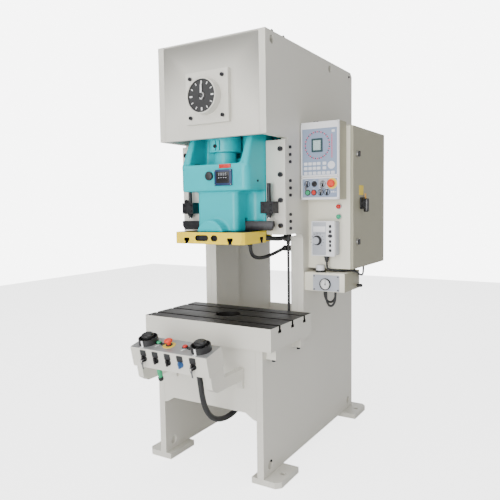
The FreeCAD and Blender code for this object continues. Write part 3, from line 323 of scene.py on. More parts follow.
def make_finishes(c):
    """Builds every finish of the machine once, from the colour settings."""
    f = FINISHES
    f["enamel"] = enamel("frame_enamel", tuple(c.enamel))
    # A darker copy of the frame enamel: painted shade for the head's inside walls and the weld
    # corners.
    f["enamel_painted_shade"] = enamel("frame_enamel_inside", shaded(c.enamel, 0.92), 0.5, 0.1)
    f["slide"] = enamel("slide_enamel", tuple(c.slide), 0.36, 0.08, 300.0,
                         Specular_IOR_Level=0.3)
    # A darker copy of the slide enamel: painted shade for the slide's guided back and the motor in
    # the head.
    f["slide_painted_shade"] = enamel("slide_enamel_inside", shaded(c.slide, 0.9), 0.38, 0.1, 300.0)
    f["base"] = enamel("base_enamel", tuple(c.base), 0.38, 0.05, Specular_IOR_Level=0.3)
    # Painted shade: a darker copy of the cabinet front's cream, for the faces turned away from the
    # front.
    f["cabinet"] = enamel("cabinet_side_painted_shade", tuple(c.cabinet), 0.42, 0.15, 800.0)
    f["cabinet_front"] = enamel("cabinet_front_enamel", (0.84, 0.81, 0.68), 0.42, 0.15, 800.0)
    f["white"] = enamel("white_powder", (0.82, 0.82, 0.84), 0.45, 0.1, 900.0)
    f["panel"] = enamel("panel_print", tuple(c.panel), 0.40, 0.15, 900.0)
    f["grey"] = moulded("grey_plastic", (0.45, 0.47, 0.52))
    f["pale"] = moulded("pale_plastic", (0.74, 0.75, 0.79))
    f["desk_top"] = ground("brushed_top", (0.42, 0.42, 0.42), 0.42, (5, 300, 300), 0.55)
    f["table"] = oiled("oiled_table", tuple(c.steel))
    f["steel"] = ground("ground_steel", (0.50, 0.50, 0.49))
    f["bright"] = ground("bright_steel", (0.72, 0.72, 0.71), 0.22, (300, 300, 12))
    f["iron"] = ground("turned_iron", (0.16, 0.16, 0.17), 0.45, (80, 80, 80), 0.8)
    f["brass"] = ground("gland_brass", (0.50, 0.40, 0.24), 0.32, (200, 200, 30))
    f["black_steel"] = blackened("blackened_steel")
    f["black"] = moulded("black_plastic", (0.018, 0.018, 0.019))
    f["gloss_black"] = moulded("gloss_black", (0.012, 0.012, 0.013), 0.2, 900.0, 0.04)
    f["red"] = moulded("red_plastic", (0.62, 0.022, 0.016), 0.28)
    f["orange_red"] = moulded("stop_red", (0.78, 0.045, 0.015), 0.3)
    f["green"] = moulded("green_plastic", (0.03, 0.38, 0.17), 0.3)
    f["blue"] = moulded("blue_plastic", (0.03, 0.10, 0.26), 0.35)
    f["yellow"] = moulded("yellow_plate", (0.90, 0.66, 0.06), 0.4)
    f["amber"] = moulded("amber_plastic", (0.85, 0.42, 0.06), 0.35)
    f["ink"] = moulded("black_ink", (0.02, 0.02, 0.025), 0.5, 900.0, 0.02)
    f["mark"] = moulded("white_mark", (0.85, 0.85, 0.84), 0.5, 900.0, 0.02)
    f["navy"] = moulded("navy_frame", (0.008, 0.028, 0.10), 0.34)
    f["lcd"] = display("lcd_window", (0.52, 0.66, 0.66), (0.22, 0.33, 0.34))
    f["lcd_frame"] = moulded("lcd_frame", (0.018, 0.055, 0.065), 0.35)
    f["rubber"] = rubbery("hose_rubber", (0.016, 0.016, 0.017))
    f["belt"] = rubbery("belt_rubber", (0.02, 0.02, 0.022))
    f["led"] = glowing("led_red", (0.75, 0.03, 0.05), 0.25)
    f["led_dark"] = moulded("led_dark", (0.05, 0.02, 0.05), 0.3)
    f["lamp_red"] = glowing("lamp_red", (0.55, 0.015, 0.012), 0.12)
    f["lamp_green"] = glowing("lamp_green", (0.02, 0.42, 0.22), 0.12)


# ---------------------------------------------------------------- mesh helpers

TURN = {"z": Matrix.Identity(4), "-y": Matrix.Rotation(math.pi / 2, 4, "X"),
        "y": Matrix.Rotation(-math.pi / 2, 4, "X"), "x": Matrix.Rotation(math.pi / 2, 4, "Y"),
        "-z": Matrix.Rotation(math.pi, 4, "X"), "-x": Matrix.Rotation(-math.pi / 2, 4, "Y")}


def at(x, y, z, way="z", spin=0.0):
    """A placement in millimetres, with the piece's own +Z along the named direction."""
    return (Matrix.Translation(Vector((x, y, z)) * MM) @ TURN[way]
            @ Matrix.Rotation(math.radians(spin), 4, "Z"))


def new_object(name, mesh_maker, where=None, smooth=35.0):
    """A mesh object from a function that fills a bmesh in millimetres."""
    mesh = bpy.data.meshes.new(name)
    bm = bmesh.new()
    mesh_maker(bm)
    bmesh.ops.scale(bm, vec=(MM, MM, MM), verts=bm.verts)
    if where is not None:
        bmesh.ops.transform(bm, matrix=where, verts=bm.verts)
    bmesh.ops.recalc_face_normals(bm, faces=bm.faces)
    bm.to_mesh(mesh)
    bm.free()
    obj = bpy.data.objects.new(name, mesh)
    bpy.context.scene.collection.objects.link(obj)
    shade(obj, smooth)
    return obj


def shade(obj, angle=35.0):
    """Smooth shading with edges sharper than the angle kept crisp."""
    for polygon in obj.data.polygons:
        polygon.use_smooth = True
    obj.data.set_sharp_from_angle(angle=math.radians(angle))


def applied(obj):
    """The object's mesh with its modifiers worked in."""
    return bpy.data.meshes.new_from_object(
        obj.evaluated_get(bpy.context.evaluated_depsgraph_get()))


def apply_modifiers(obj):
    """Works the modifiers into the object."""
    result = applied(obj)
    obj.modifiers.clear()
    obj.data = result


def cut_away(obj, cutter):
    """Adds the modifier that takes the cutter's volume away."""
    cut = obj.modifiers.new("Cut", "BOOLEAN")
    cut.operation = "DIFFERENCE"
    cut.solver = "EXACT"
    cut.object = cutter


def flatten_faces(obj):
    """Lets the large faces set the normals, so that only the rounded edges curve."""
    weigh = obj.modifiers.new("Weigh", "WEIGHTED_NORMAL")
    weigh.keep_sharp = True
    apply_modifiers(obj)


def settle(obj, finish, body="frame"):
    """Gives a piece its finish, its body and its own or the finish's material slot."""
    obj.data.materials.clear()
    obj.data.materials.append(FINISHES[finish])
    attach(obj, body)
    return obj


def round_edges(bm, width, segments=2, angle=30.0, only=None):
    """Rounds the edges sharper than the angle."""
    sharp = [e for e in bm.edges if len(e.link_faces) == 2
             and e.calc_face_angle(0.0) > math.radians(angle) and (only is None or only(e))]
    if sharp and width > 0:
        bmesh.ops.bevel(bm, geom=sharp, offset=width, segments=segments, profile=0.5,
                        affect="EDGES", clamp_overlap=True)


def add_box(bm, low, high):
    """A box between two corners."""
    made = bmesh.ops.create_cube(bm, size=1.0)["verts"]
    low, high = Vector(low), Vector(high)
    for vertex in made:
        vertex.co = low + Vector((c + 0.5) * s for c, s in zip(vertex.co, high - low))
    return made


def block(name, low, high, edge=1.0, where=None, segments=2):
    """A box with rounded edges."""
    return new_object(name, box_filler(low, high, edge, segments), where)


def add_turned(bm, profile, steps=48, close=True):
    """A turned shape about Z: the profile is (radius, height)."""
    rings = []
    for radius, height in profile:
        if radius < 1e-6:
            rings.append([bm.verts.new((0, 0, height))])
        else:
            rings.append([bm.verts.new((radius * math.cos(2 * math.pi * i / steps),
                                        radius * math.sin(2 * math.pi * i / steps), height))
                          for i in range(steps)])
    pairs = list(zip(rings, rings[1:]))
    if close:
        pairs.append((rings[-1], rings[0]))
    for low, high in pairs:
        for i in range(steps):
            j = (i + 1) % steps
            if len(low) == 1 and len(high) == 1:
                break
            if len(low) == 1:
                bm.faces.new((low[0], high[i], high[j]))
            elif len(high) == 1:
                bm.faces.new((low[i], low[j], high[0]))
            else:
                bm.faces.new((low[i], low[j], high[j], high[i]))


def turned(name, profile, where=None, steps=48, edge=0.0, segments=2):
    """A turned piece; a profile that starts and ends on the axis is solid."""
    solid = profile[0][0] < 1e-6 and profile[-1][0] < 1e-6

    def fill(bm):
        add_turned(bm, profile, steps, close=not solid)
        round_edges(bm, edge, segments)
    return new_object(name, fill, where)


def add_slab(bm, outline, low, high):
    """An outline in XY made thick along Z."""
    floor = [bm.verts.new((x, y, low)) for x, y in outline]
    roof = [bm.verts.new((x, y, high)) for x, y in outline]
    bm.faces.new(list(reversed(floor)))
    bm.faces.new(roof)
    count = len(outline)
    for i in range(count):
        j = (i + 1) % count
        bm.faces.new((floor[i], floor[j], roof[j], roof[i]))


def slab(name, outline, low, high, where=None, edge=0.0, segments=2):
    """A plate of any outline with rounded edges."""
    return new_object(name, slab_filler(outline, low, high, edge, segments), where)


def arc(cx, cy, radius, start, end, steps=10):
    """Points along an arc, in degrees."""
    return [(cx + radius * math.cos(math.radians(start + (end - start) * i / steps)),
             cy + radius * math.sin(math.radians(start + (end - start) * i / steps)))
            for i in range(steps + 1)]


def rounded_outline(x0, y0, x1, y1, radius, steps=6):
    """A rectangle with round corners."""
    return (arc(x1 - radius, y0 + radius, radius, -90, 0, steps)
            + arc(x1 - radius, y1 - radius, radius, 0, 90, steps)
            + arc(x0 + radius, y1 - radius, radius, 90, 180, steps)
            + arc(x0 + radius, y0 + radius, radius, 180, 270, steps))


def many(name, makers, smooth=35.0):
    """One mesh from several fillers, each alone or paired with its placement."""
    def fill(bm):
        for maker in makers:
            filler, where = maker if isinstance(maker, tuple) else (maker, None)
            piece = bmesh.new()
            filler(piece)
            if where is not None:
                move = where.copy()
                move.translation = move.translation / MM
                bmesh.ops.transform(piece, matrix=move, verts=piece.verts)
            held = bpy.data.meshes.new("held")
            piece.to_mesh(held)
            piece.free()
            bm.from_mesh(held)
            bpy.data.meshes.remove(held)
    return new_object(name, fill, None, smooth)


def fit(name, makers, finish, body="frame"):
    """A finished piece from several fillers."""
    return settle(many(name, makers), finish, body)


def softened(node, finish, width, name=None, angle=30.0, segments=2):
    """A copy of a construction piece that stands for it, with edges rounded by the width.

    At width 0 the mesh stays as it is, which suits thin sheet round an opening.
    """
    source = frame["nodes"][node]
    mesh = source.data.copy()
    bm = bmesh.new()
    bm.from_mesh(mesh)
    bmesh.ops.remove_doubles(bm, verts=bm.verts, dist=1e-5)
    if width > 0:
        bmesh.ops.dissolve_limit(bm, angle_limit=math.radians(1.0), verts=bm.verts,
                                 edges=bm.edges)
    round_edges(bm, width, segments, angle)
    bm.to_mesh(mesh)
    bm.free()
    if "custom_normal" in mesh.attributes:
        mesh.attributes.remove(mesh.attributes["custom_normal"])
    obj = bpy.data.objects.new(name or node + "_finish", mesh)
    bpy.context.scene.collection.objects.link(obj)
    shade(obj, 30.0)
    flatten_faces(obj)
    settle(obj, finish, source["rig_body"])
    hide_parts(node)
    return obj


def two_tone(obj, finish, wanted):
    """Gives the faces that the test picks a second finish."""
    obj.data.materials.append(FINISHES[finish])
    index = len(obj.data.materials) - 1
    for polygon in obj.data.polygons:
        if wanted(polygon.center / MM, polygon.normal):
            polygon.material_index = index


# ---------------------------------------------------------------- shapes used by many pieces

def paint_node(node, finish):
    """Gives a construction piece that keeps its own mesh its finish."""
    mesh = frame["nodes"][node].data
    mesh.materials.clear()
    mesh.materials.append(FINISHES[finish])


def hexagon(radius, spin=0.0):
    """The corners of a hexagon."""
    return [(radius * math.cos(math.radians(60 * i + spin)),
             radius * math.sin(math.radians(60 * i + spin))) for i in range(6)]


def slab_filler(outline, low, high, edge=0.0, segments=2):
    """A filler for many(): a plate of any outline."""
    def fill(bm):
        add_slab(bm, outline, low, high)
        round_edges(bm, edge, segments)
    return fill


def box_filler(low, high, edge=0.0, segments=2):
    """A filler for many(): a box."""
    def fill(bm):
        add_box(bm, low, high)
        round_edges(bm, edge, segments)
    return fill


def turned_filler(profile, steps=32, edge=0.0):
    """A filler for many(): a solid turned shape."""
    def fill(bm):
        add_turned(bm, profile, steps, close=False)
        round_edges(bm, edge)
    return fill


def disc_filler(radius, low, high, edge=0.0, steps=32):
    """A filler for many(): a disc about Z."""
    return turned_filler([(0, low), (radius, low), (radius, high), (0, high)], steps, edge)


def fused_cast(name, sources, voxel, passes, cutters=()):
    """Overlapping solids melted into one casting with soft inner and outer corners."""
    bpy.ops.object.select_all(action="DESELECT")
    for source in sources:
        source.select_set(True)
    bpy.context.view_layer.objects.active = sources[0]
    bpy.ops.object.join()
    obj = bpy.context.view_layer.objects.active
    obj.name = name
    melt = obj.modifiers.new("Melt", "REMESH")
    melt.mode = "VOXEL"
    melt.voxel_size = voxel * MM
    soften = obj.modifiers.new("Soften", "SMOOTH")
    soften.factor = 0.5
    soften.iterations = passes
    for cutter in cutters:
        cut_away(obj, cutter)
    apply_modifiers(obj)
    for cutter in cutters:
        bpy.data.objects.remove(cutter)
    shade(obj, 40.0)
    return obj


def drill(obj, holes):
    """Cuts round holes, given as (placement, radius, depth each way in millimetres)."""
    cutter = many("drill", [(disc_filler(radius, -deep, deep), where)
                            for where, radius, deep in holes])
    cut_away(obj, cutter)
    apply_modifiers(obj)
    bpy.data.objects.remove(cutter)
    shade(obj)


def pipe(name, points, radius, finish, body, steps=8):
    """A hose through its control points, in metres, on one smooth spline."""
    curve = bpy.data.curves.new(name, "CURVE")
    curve.dimensions = "3D"
    curve.bevel_depth = radius
    curve.bevel_resolution = 5
    curve.resolution_u = steps
    curve.use_fill_caps = True
    spline = curve.splines.new("NURBS")
    spline.points.add(len(points) - 1)
    for point, place in zip(spline.points, points):
        point.co = (*place, 1.0)
    spline.order_u = 3
    spline.use_endpoint_u = True
    obj = bpy.data.objects.new(name, curve)
    bpy.context.scene.collection.objects.link(obj)
    return settle(obj, finish, body)


def mesh_copy(obj, name):
    """A mesh object in place of a curve object."""
    mesh = applied(obj)
    bpy.data.objects.remove(obj)
    made = bpy.data.objects.new(name, mesh)
    bpy.context.scene.collection.objects.link(made)
    return made


def scatter_screws(name, places, radius, finish="black_steel", body="frame"):
    """Small socket screws at the placements, heads along their own +Z."""
    fillers = []
    for where in places:
        head = [(0, 0), (radius, 0), (radius, radius * 0.75), (radius * 0.86, radius * 0.9),
                (radius * 0.5, radius * 0.9), (radius * 0.45, radius * 0.35),
                (0, radius * 0.35)]
        fillers.append((turned_filler(head, 20), where))
    return fit(name, fillers, finish, body)


# ---------------------------------------------------------------- stage

class PRESS_OT_stage(bpy.types.Operator):
    """Floor, studio light and camera"""
    bl_idname = "press.stage"
    bl_label = "Stage"

    FLOOR = 14000
    SOFT_BOXES = (
        ("key_light", (-2.2, -4.6, 3.8), 3.2, 85, (0.0, -0.2, 1.0)),
        ("front_light", (0.7, -5.6, 1.3), 3.0, 250, (0.0, -0.3, 1.0)),
        ("side_light", (4.8, -1.4, 2.6), 3.0, 22, (0.3, 0.0, 1.1)),
        ("top_light", (0.3, -0.8, 5.4), 3.6, 80, (0.0, 0.0, 1.0)),
        ("back_light", (-2.4, 4.2, 3.4), 3.0, 60, (0.0, 0.0, 1.2)))
    SKY, SKY_SEEN, FLOOR_GLOW = 0.52, 7.0, 3.0
    CAMERA = (1.561, -2.740, 1.312)
    AIM = (31.28, -4.6, -0.82)
    LENS = 39.7

    def execute(self, context):
        half = self.FLOOR / 2
        floor = new_object("studio_floor", lambda bm: add_box(
            bm, (-half, -half, -20), (half, half, -0.05)))
        paper = enamel("studio_paper", (0.90, 0.90, 0.90), 0.75, 0.0)
        shader = paper.node_tree.nodes["Principled BSDF"].inputs
        shader["Emission Strength"].default_value = self.FLOOR_GLOW
        seen = paper.node_tree.nodes.new("ShaderNodeLightPath").outputs["Is Camera Ray"]
        paper.node_tree.links.new(seen, shader["Emission Color"])
        floor.data.materials.append(paper)
        for name, place, size, power, target in self.SOFT_BOXES:
            lamp = bpy.data.lights.new(name, "AREA")
            lamp.shape = "SQUARE"
            lamp.size = size
            lamp.energy = power
            obj = bpy.data.objects.new(name, lamp)
            obj.location = place
            obj.rotation_euler = (Vector(place) - Vector(target)).to_track_quat(
                "Z", "Y").to_euler()
            context.scene.collection.objects.link(obj)
        world = context.scene.world or bpy.data.worlds.new("studio")
        context.scene.world = world
        world.use_nodes = True
        tree = world.node_tree
        sky = tree.nodes["Background"]
        sky.inputs["Color"].default_value = (1.0, 1.0, 1.0, 1.0)
        path = tree.nodes.new("ShaderNodeLightPath")
        seen = tree.nodes.new("ShaderNodeMath")
        seen.operation = "MULTIPLY_ADD"
        seen.inputs[1].default_value = self.SKY_SEEN - self.SKY
        seen.inputs[2].default_value = self.SKY
        tree.links.new(path.outputs["Is Camera Ray"], seen.inputs[0])
        tree.links.new(seen.outputs[0], sky.inputs["Strength"])
        self.place_camera(context)
        return {"FINISHED"}

    def place_camera(self, context):
        """The camera, set by its compass angle, pitch and roll."""
        turn, pitch, roll = (math.radians(v) for v in self.AIM)
        back = Vector((math.sin(turn) * math.cos(pitch), -math.cos(turn) * math.cos(pitch),
                       -math.sin(pitch)))
        right = Vector((math.cos(turn), math.sin(turn), 0.0))
        up = back.cross(right)
        across = right * math.cos(roll) + up * math.sin(roll)
        above = up * math.cos(roll) - right * math.sin(roll)
        data = bpy.data.cameras.new("main_camera")
        data.lens = self.LENS
        data.sensor_width = 36.0
        camera = bpy.data.objects.new("main_camera", data)
        camera.matrix_world = (Matrix.Translation(Vector(self.CAMERA))
                               @ Matrix((across, above, back)).transposed().to_4x4())
        context.scene.collection.objects.link(camera)
        context.scene.camera = camera


# ---------------------------------------------------------------- frame

class PRESS_OT_frame(bpy.types.Operator):
    """Welded frame, feet, slide ways and their screws"""
    bl_idname = "press.frame"
    bl_label = "Frame"

    EYES = ((290, -424), (290, -308), (-290, -424), (-290, -308))

    def execute(self, context):
        edge = context.scene.press_sizes.plate_edge
        for node in ("side_plate_left", "side_plate_right", "cross_plates", "foot_plates"):
            softened(node, "enamel", edge)
        softened("throat_liners", "enamel", edge)
        softened("slide_gibs", "enamel", edge)
        # The bearing walls take the darker copy of the enamel as painted shade.
        softened("bearing_walls", "enamel_painted_shade", edge)
        softened("rear_guard", "enamel", edge)
        paint_node("frame_screws", "black_steel")
        self.lifting_eyes()
        self.small_plugs()
        self.welds()
        return {"FINISHED"}

    def lifting_eyes(self):
        """Small screwed eyes along the head."""
        fillers = []
        for x, y in self.EYES:
            fillers.append((disc_filler(9, 0, 6, 1.5, 24), at(x, y, 2110)))
            ring = [(9 + 3 * math.cos(a * math.pi / 6), 3 * math.sin(a * math.pi / 6))
                    for a in range(12)]
            fillers.append((lambda bm, r=ring: add_turned(bm, r, 24), at(x, y, 2118, "x")))
        fit("head_eyes", fillers, "black_steel")

    def small_plugs(self):
        """Levelling screw in each front leg and a small plug at the rear of the head."""
        places = []
        for side, way in ((1, "x"), (-1, "-x")):
            places += [at(side * 312, -520, 96, way), at(side * 312, 495, 2079, way)]
        scatter_screws("frame_plugs", places, 6)

    def welds(self):
        """Fillet welds up the inside corners of the legs."""
        bead = [(0, 0), (7, 0), (0, 7)]
        fillers = []
        for side in (1, -1):
            for y, low, high in ((-569, 310, 598), (530, 310, 640)):
                way = 1 if y < 0 else -1
                outline = [(side * 276 - side * x, y + way * z) for x, z in bead]
                fillers.append(slab_filler(outline, low, high))
        # The welds take the darker copy of the enamel as painted shade in the corners.
        fit("frame_welds", fillers, "enamel_painted_shade", "frame")


# ---------------------------------------------------------------- dial

class PRESS_OT_dial(bpy.types.Operator):
    """Crank-angle dial with its marks and pointer"""
    bl_idname = "press.dial"
    bl_label = "Crank dial"

    HIGH, FACE, HUB = 1832, -591, -593.9
    TICK_IN, TICK_OUT, TICK_WIDE = 57, 69, 5.5

    def execute(self, context):
        dial = softened("crank_dial", "enamel", context.scene.press_sizes.plate_edge)
        two_tone(dial, "black", lambda c, n: math.hypot(c.x, c.z - self.HIGH) < 79
                 and c.y < -580)
        fillers = []
        count = context.scene.press_sizes.ticks
        for i in range(count):
            wide = self.TICK_WIDE * (1.35 if i % 3 == 0 else 0.8)
            turn = Matrix.Rotation(2 * math.pi * i / count, 4, "Z")
            mark = box_filler((self.TICK_IN - (3 if i % 3 == 0 else 0), -wide / 2, 0),
                              (self.TICK_OUT, wide / 2, 0.8))
            fillers.append((mark, at(0, self.FACE, self.HIGH, "-y") @ turn))
        fit("dial_marks", fillers, "mark")
        rim = turned("dial_rim_ring", [(77.6, 0), (84.4, 0), (84.4, 3.5), (82.4, 5.2),
                                       (79.2, 5.2), (77.6, 3.5)],
                     at(0, self.FACE - 2, self.HIGH, "-y"), 72)
        settle(rim, "enamel")
        shaft = softened("crankshaft", "steel", 0.0009)
        two_tone(shaft, "mark", lambda c, n: c.y < self.HUB)
        two_tone(shaft, "black", lambda c, n: self.HUB <= c.y < -560)
        cap = turned("pointer_cap", [(0, 0), (12, 0), (12, 3), (9, 5), (0, 5.5)],
                     at(0, self.FACE - 6, self.HIGH, "-y"), 32)
        settle(cap, "black", frame["nodes"]["crankshaft"]["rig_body"])
        return {"FINISHED"}


# ---------------------------------------------------------------- slide

class PRESS_OT_slide(bpy.types.Operator):
    """Slide casting with its tool clamp, base plate and adjusting screw"""
    bl_idname = "press.slide"
    bl_label = "Slide"

    VOXEL = 4.5
    BOX, BASE = (1385, 1517), 1186
    RIBS = {1: ((150, -516, 1500), (200, -516, 1500), (200, -330, 1500), (150, -330, 1500),
                (174, -444, 1704), (200, -444, 1704), (200, -330, 1704), (174, -330, 1704)),
            -1: ((-150, -512, 1500), (-197, -512, 1500), (-197, -330, 1500), (-150, -330, 1500),
                 (-140, -444, 1704), (-164, -444, 1704), (-196, -330, 1704),
                 (-140, -330, 1704))}

    def execute(self, context):
        self.casting()
        self.guides()
        base = softened("slide_base", "base", context.scene.press_sizes.part_edge * 1.6)
        two_tone(base, "black_steel", self.in_a_slot)
        screw = softened("adjusting_screw", "slide", 0.003)
        two_tone(screw, "steel", lambda c, n: c.z > 1580)
        rod = softened("connecting_rod", "slide", 0.005, segments=3)
        two_tone(rod, "steel", lambda c, n: c.z > 1700 and math.hypot(c.x, c.z - 1872) < 64)
        self.clamp_lug()
        self.small_parts()
        return {"FINISHED"}

    @staticmethod
    def in_a_slot(c, n):
        """True for the faces inside the slots and holes of the base plate."""
        if abs(n.y) > 0.9 and c.y < -563.0 or abs(n.x) > 0.99 and abs(c.x) > 204.0:
            return False
        front = abs(abs(c.x) - 128) < 15.5 and c.z < 1158.5 and c.z > 1128.2
        ends = abs(c.x) > 144 and abs(c.y + 396) < 15.5 and c.z < 1158.5 and c.z > 1128.2
        holes = abs(c.z - 1157) < 14.6 and -564 < c.y < -544 and -78 < c.x < 60
        return front or ends or holes or math.hypot(c.x, c.y + 396) < 25.5

    def casting(self):
        """The front of the casting: nose, box, two leaning ribs and the arched tool clamp."""
        low, top = self.BOX

        def box_fill(bm):
            add_slab(bm, rounded_outline(-200, -516, 200, -300, 34), low, top)
            round_edges(bm, 30, 5, only=lambda e: all(v.co.z < low + 1 for v in e.verts))
            round_edges(bm, 9, 3, only=lambda e: all(v.co.z > top - 1 for v in e.verts))
        box = new_object("cast_box", box_fill)
        nose = slab("cast_nose", rounded_outline(-119, -487, 119, -320, 26), self.BASE, low + 60,
                    edge=2)
        sources = [box, nose, block("cast_back", (-203, -352, self.BASE), (203, -318, 1700), 3)]
        for side, corners in self.RIBS.items():
            def rib(bm, corners=corners):
                v = [bm.verts.new(c) for c in corners]
                for ring in ((0, 1, 2, 3), (4, 5, 6, 7), (0, 1, 5, 4), (1, 2, 6, 5),
                             (2, 3, 7, 6), (3, 0, 4, 7)):
                    bm.faces.new([v[i] for i in ring])
                bmesh.ops.recalc_face_normals(bm, faces=bm.faces)
                round_edges(bm, 7, 3)
            sources.append(new_object(f"cast_rib_{side}", rib))
        for side in (1, -1):
            flank = [(side * 117, -350), (side * 117, -400), (side * 124, -372),
                     (side * 138, -356), (side * 160, -350)]
            sources.append(slab(f"cast_flank_{side}", flank, self.BASE + 2, low + 30))
        arch = [(-77, 0)] + arc(0, -22, 80, 164, 16, 22) + [(77, 0)]
        sources.append(slab("cast_arch", arch, 0, 66, at(-3, -480, self.BASE + 1, "-y"),
                            edge=9, segments=3))
        slot = block("cut_slot", (-160, -408.4, 1189), (160, -383.6, 1252), 0)
        seat = turned("cut_seat", [(0, 0), (58, 0), (58, 140), (90, 140), (90, 330), (0, 330)],
                      at(0, -396, 1410))
        foot = block("cut_foot", (-260, -600, 1100), (260, -200, self.BASE + 0.4), 0)
        obj = fused_cast("slide_casting", sources, self.VOXEL, 16, (slot, seat, foot))
        settle(obj, "slide", "slide")
        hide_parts("slide_body", "shank_clamp")

    def guides(self):
        """The guided back of the slide, with its vee grooves."""
        plan = [(205, -340), (205, -286), (179, -258), (205, -230), (205, -200), (-205, -200),
                (-205, -230), (-179, -258), (-205, -286), (-205, -340)]
        room = arc(0, -396, 87.5, 40, 140, 24)
        notch = plan + room[::-1]
        back = slab("slide_back_low", plan, self.BASE + 0.4, 1517, edge=1.5)
        high = slab("slide_back_high", notch, 1516, 1695, edge=1.5)
        # Both take the darker copy of the slide enamel as painted shade.
        for obj in (back, high):
            settle(obj, "slide_painted_shade", "slide")

    def clamp_lug(self):
        """The split lug and bolt that lock the adjusting screw in the rod."""
        body = frame["nodes"]["connecting_rod"]["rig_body"]
        fit("rod_clamp_lug", [
            box_filler((-20, -486, 1584), (-1, -440, 1634), 4),
            box_filler((3, -486, 1584), (22, -440, 1634), 4)], "slide", body)
        scatter_screws("rod_clamp_bolt", [at(1, -486, 1605, "-y")], 9, body=body)

    def small_parts(self):
        """Red tag, hole and plug on top of the box, cover bolts and the side plug."""
        tag = block("meter_tag", (43, -520.5, 1494), (110, -515, 1513), 1.0)
        settle(tag, "red", "slide")
        vent = turned("box_top_hole", [(0, 0), (21, 0), (21, 2), (0, 2)], at(62, -470, 1516.6))
        settle(vent, "black", "slide")
        plug = turned("box_top_plug", [(0, 0), (17, 0), (17, 4), (12, 7), (0, 7)],
                      at(-122, -470, 1516))
        settle(plug, "black", "slide")
        scatter_screws("cover_bolts", [at(x, -331, 1630) for x in (240, 262)], 6)
        scatter_screws("slide_side_plug", [at(199, -420, 1432, "x")], 5.5, body="slide")


class PRESS_OT_meter(bpy.types.Operator):
    """Die-height counter and its setting knob on the slide"""
    bl_idname = "press.meter"
    bl_label = "Height counter"

    SEGMENTS = {"0": "abcdef", "2": "abged", "5": "afgcd", "8": "abcdefg"}

    def digit(self, figure, x, z, high):
        """Fillers for one seven-bar figure in the counter's face plane."""
        wide, bar = high * 0.5, high * 0.13
        bars = {"a": (0, high, wide, 0), "g": (0, high / 2, wide, 0), "d": (0, 0, wide, 0),
                "f": (0, high / 2, 0, high / 2), "b": (wide, high / 2, 0, high / 2),
                "e": (0, 0, 0, high / 2), "c": (wide, 0, 0, high / 2)}
        made = []
        for letter in self.SEGMENTS[figure]:
            left, low, right, up = bars[letter]
            made.append(box_filler((x + left - bar / 2, -527.6, z + low - bar / 2),
                                    (x + left + right + bar / 2, -526.6,
                                     z + low + up + bar / 2)))
        return made

    def execute(self, context):
        fit("counter_case", [
            box_filler((18, -526, 1410), (118, -515.6, 1487), 2.5)], "navy", "slide")
        face = block("counter_face", (30, -527, 1422), (106, -525, 1477), 1.5)
        settle(face, "gloss_black", "slide")
        knob = turned("counter_knob", [(0, 0), (22, 0), (22, 9), (19, 12), (17, 13), (6, 14),
                                       (0, 14)], at(-16, -516, 1459, "-y"), 40)
        settle(knob, "black", "slide")
        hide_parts("height_indicator")
        marks = []
        for i, figure in enumerate("2805"):
            marks += self.digit(figure, 44 + i * 13, 1459, 11)
        for i in range(4):
            marks.append(box_filler((43 + i * 14, -527.6, 1446), (49 + i * 14, -526.6, 1449)))
        fit("counter_figures", marks, "grey", "slide")
        scatter_screws("counter_screws", [at(x, -526, z, "-y") for x in (23, 113)
                                          for z in (1415, 1482)], 2.4, "steel", "slide")
        return {"FINISHED"}


class PRESS_OT_knockout(bpy.types.Operator):
    """Knock-out bar, stop brackets and stop bolts"""
    bl_idname = "press.knockout"
    bl_label = "Knock-out"

    BOLT_X, BOLT_Y = 240, -380

    def execute(self, context):
        def bar_fill(bm):
            outline = [(-275, 1212), (-262, 1190), (262, 1190), (275, 1212), (275, 1236),
                       (-275, 1236)]
            add_slab(bm, outline, 384, 408)
            bmesh.ops.rotate(bm, verts=bm.verts, matrix=Matrix.Rotation(math.pi / 2, 3, "X"))
            round_edges(bm, 2.0)
        bar = new_object("knockout_bar_finish", bar_fill)
        body = frame["nodes"]["knockout_bar"]["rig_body"]
        settle(bar, "black_steel", body)
        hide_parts("knockout_bar")
        softened("stop_brackets", "black_steel", 0.0016)
        for side, name in ((1, "right"), (-1, "left")):
            node = f"stop_bolt_{name}"
            rod = softened(node, "black_steel", 0.001)
            x = side * self.BOLT_X
            fit(f"stop_tip_{name}", [
                (disc_filler(9.3, 0, 12.5, 1.5), at(x, self.BOLT_Y, 1249.3))],
                "bright", rod["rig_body"])
            nuts = many(f"stop_nuts_{name}", [
                (slab_filler(hexagon(16), 0, 10, 1.5), at(x, self.BOLT_Y, 1262.8))])
            drill(nuts, [(at(x, self.BOLT_Y, 1268), 9.9, 20)])
            settle(nuts, "black_steel")
            scatter_screws(f"bracket_screws_{name}",
                           [at(x + dx, -406, z, "-y") for dx in (-22, 22)
                            for z in (1288, 1316)], 5)
        return {"FINISHED"}


# ---------------------------------------------------------------- table

class PRESS_OT_table(bpy.types.Operator):
    """Slotted table on its lugs"""
    bl_idname = "press.table"
    bl_label = "Table"

    SLOTS = (-526.5, -396.0, -265.5)

    def dark(self, c, n):
        """True for the ground top and for everything inside the slots and the hole."""
        if c.z < 648 or abs(c.x) > 370.6 and abs(n.x) > 0.9:
            return False
        slot = any(abs(c.y - m) < 15.3 for m in self.SLOTS) and c.z > 722.5
        return c.z > 755.5 or slot and c.z > 722.5 or math.hypot(c.x, c.y + 396) < 64.8

    def execute(self, context):
        table = softened("bolster", "enamel", context.scene.press_sizes.part_edge * 1.5)
        two_tone(table, "table", self.dark)
        return {"FINISHED"}


# ---------------------------------------------------------------- small controls

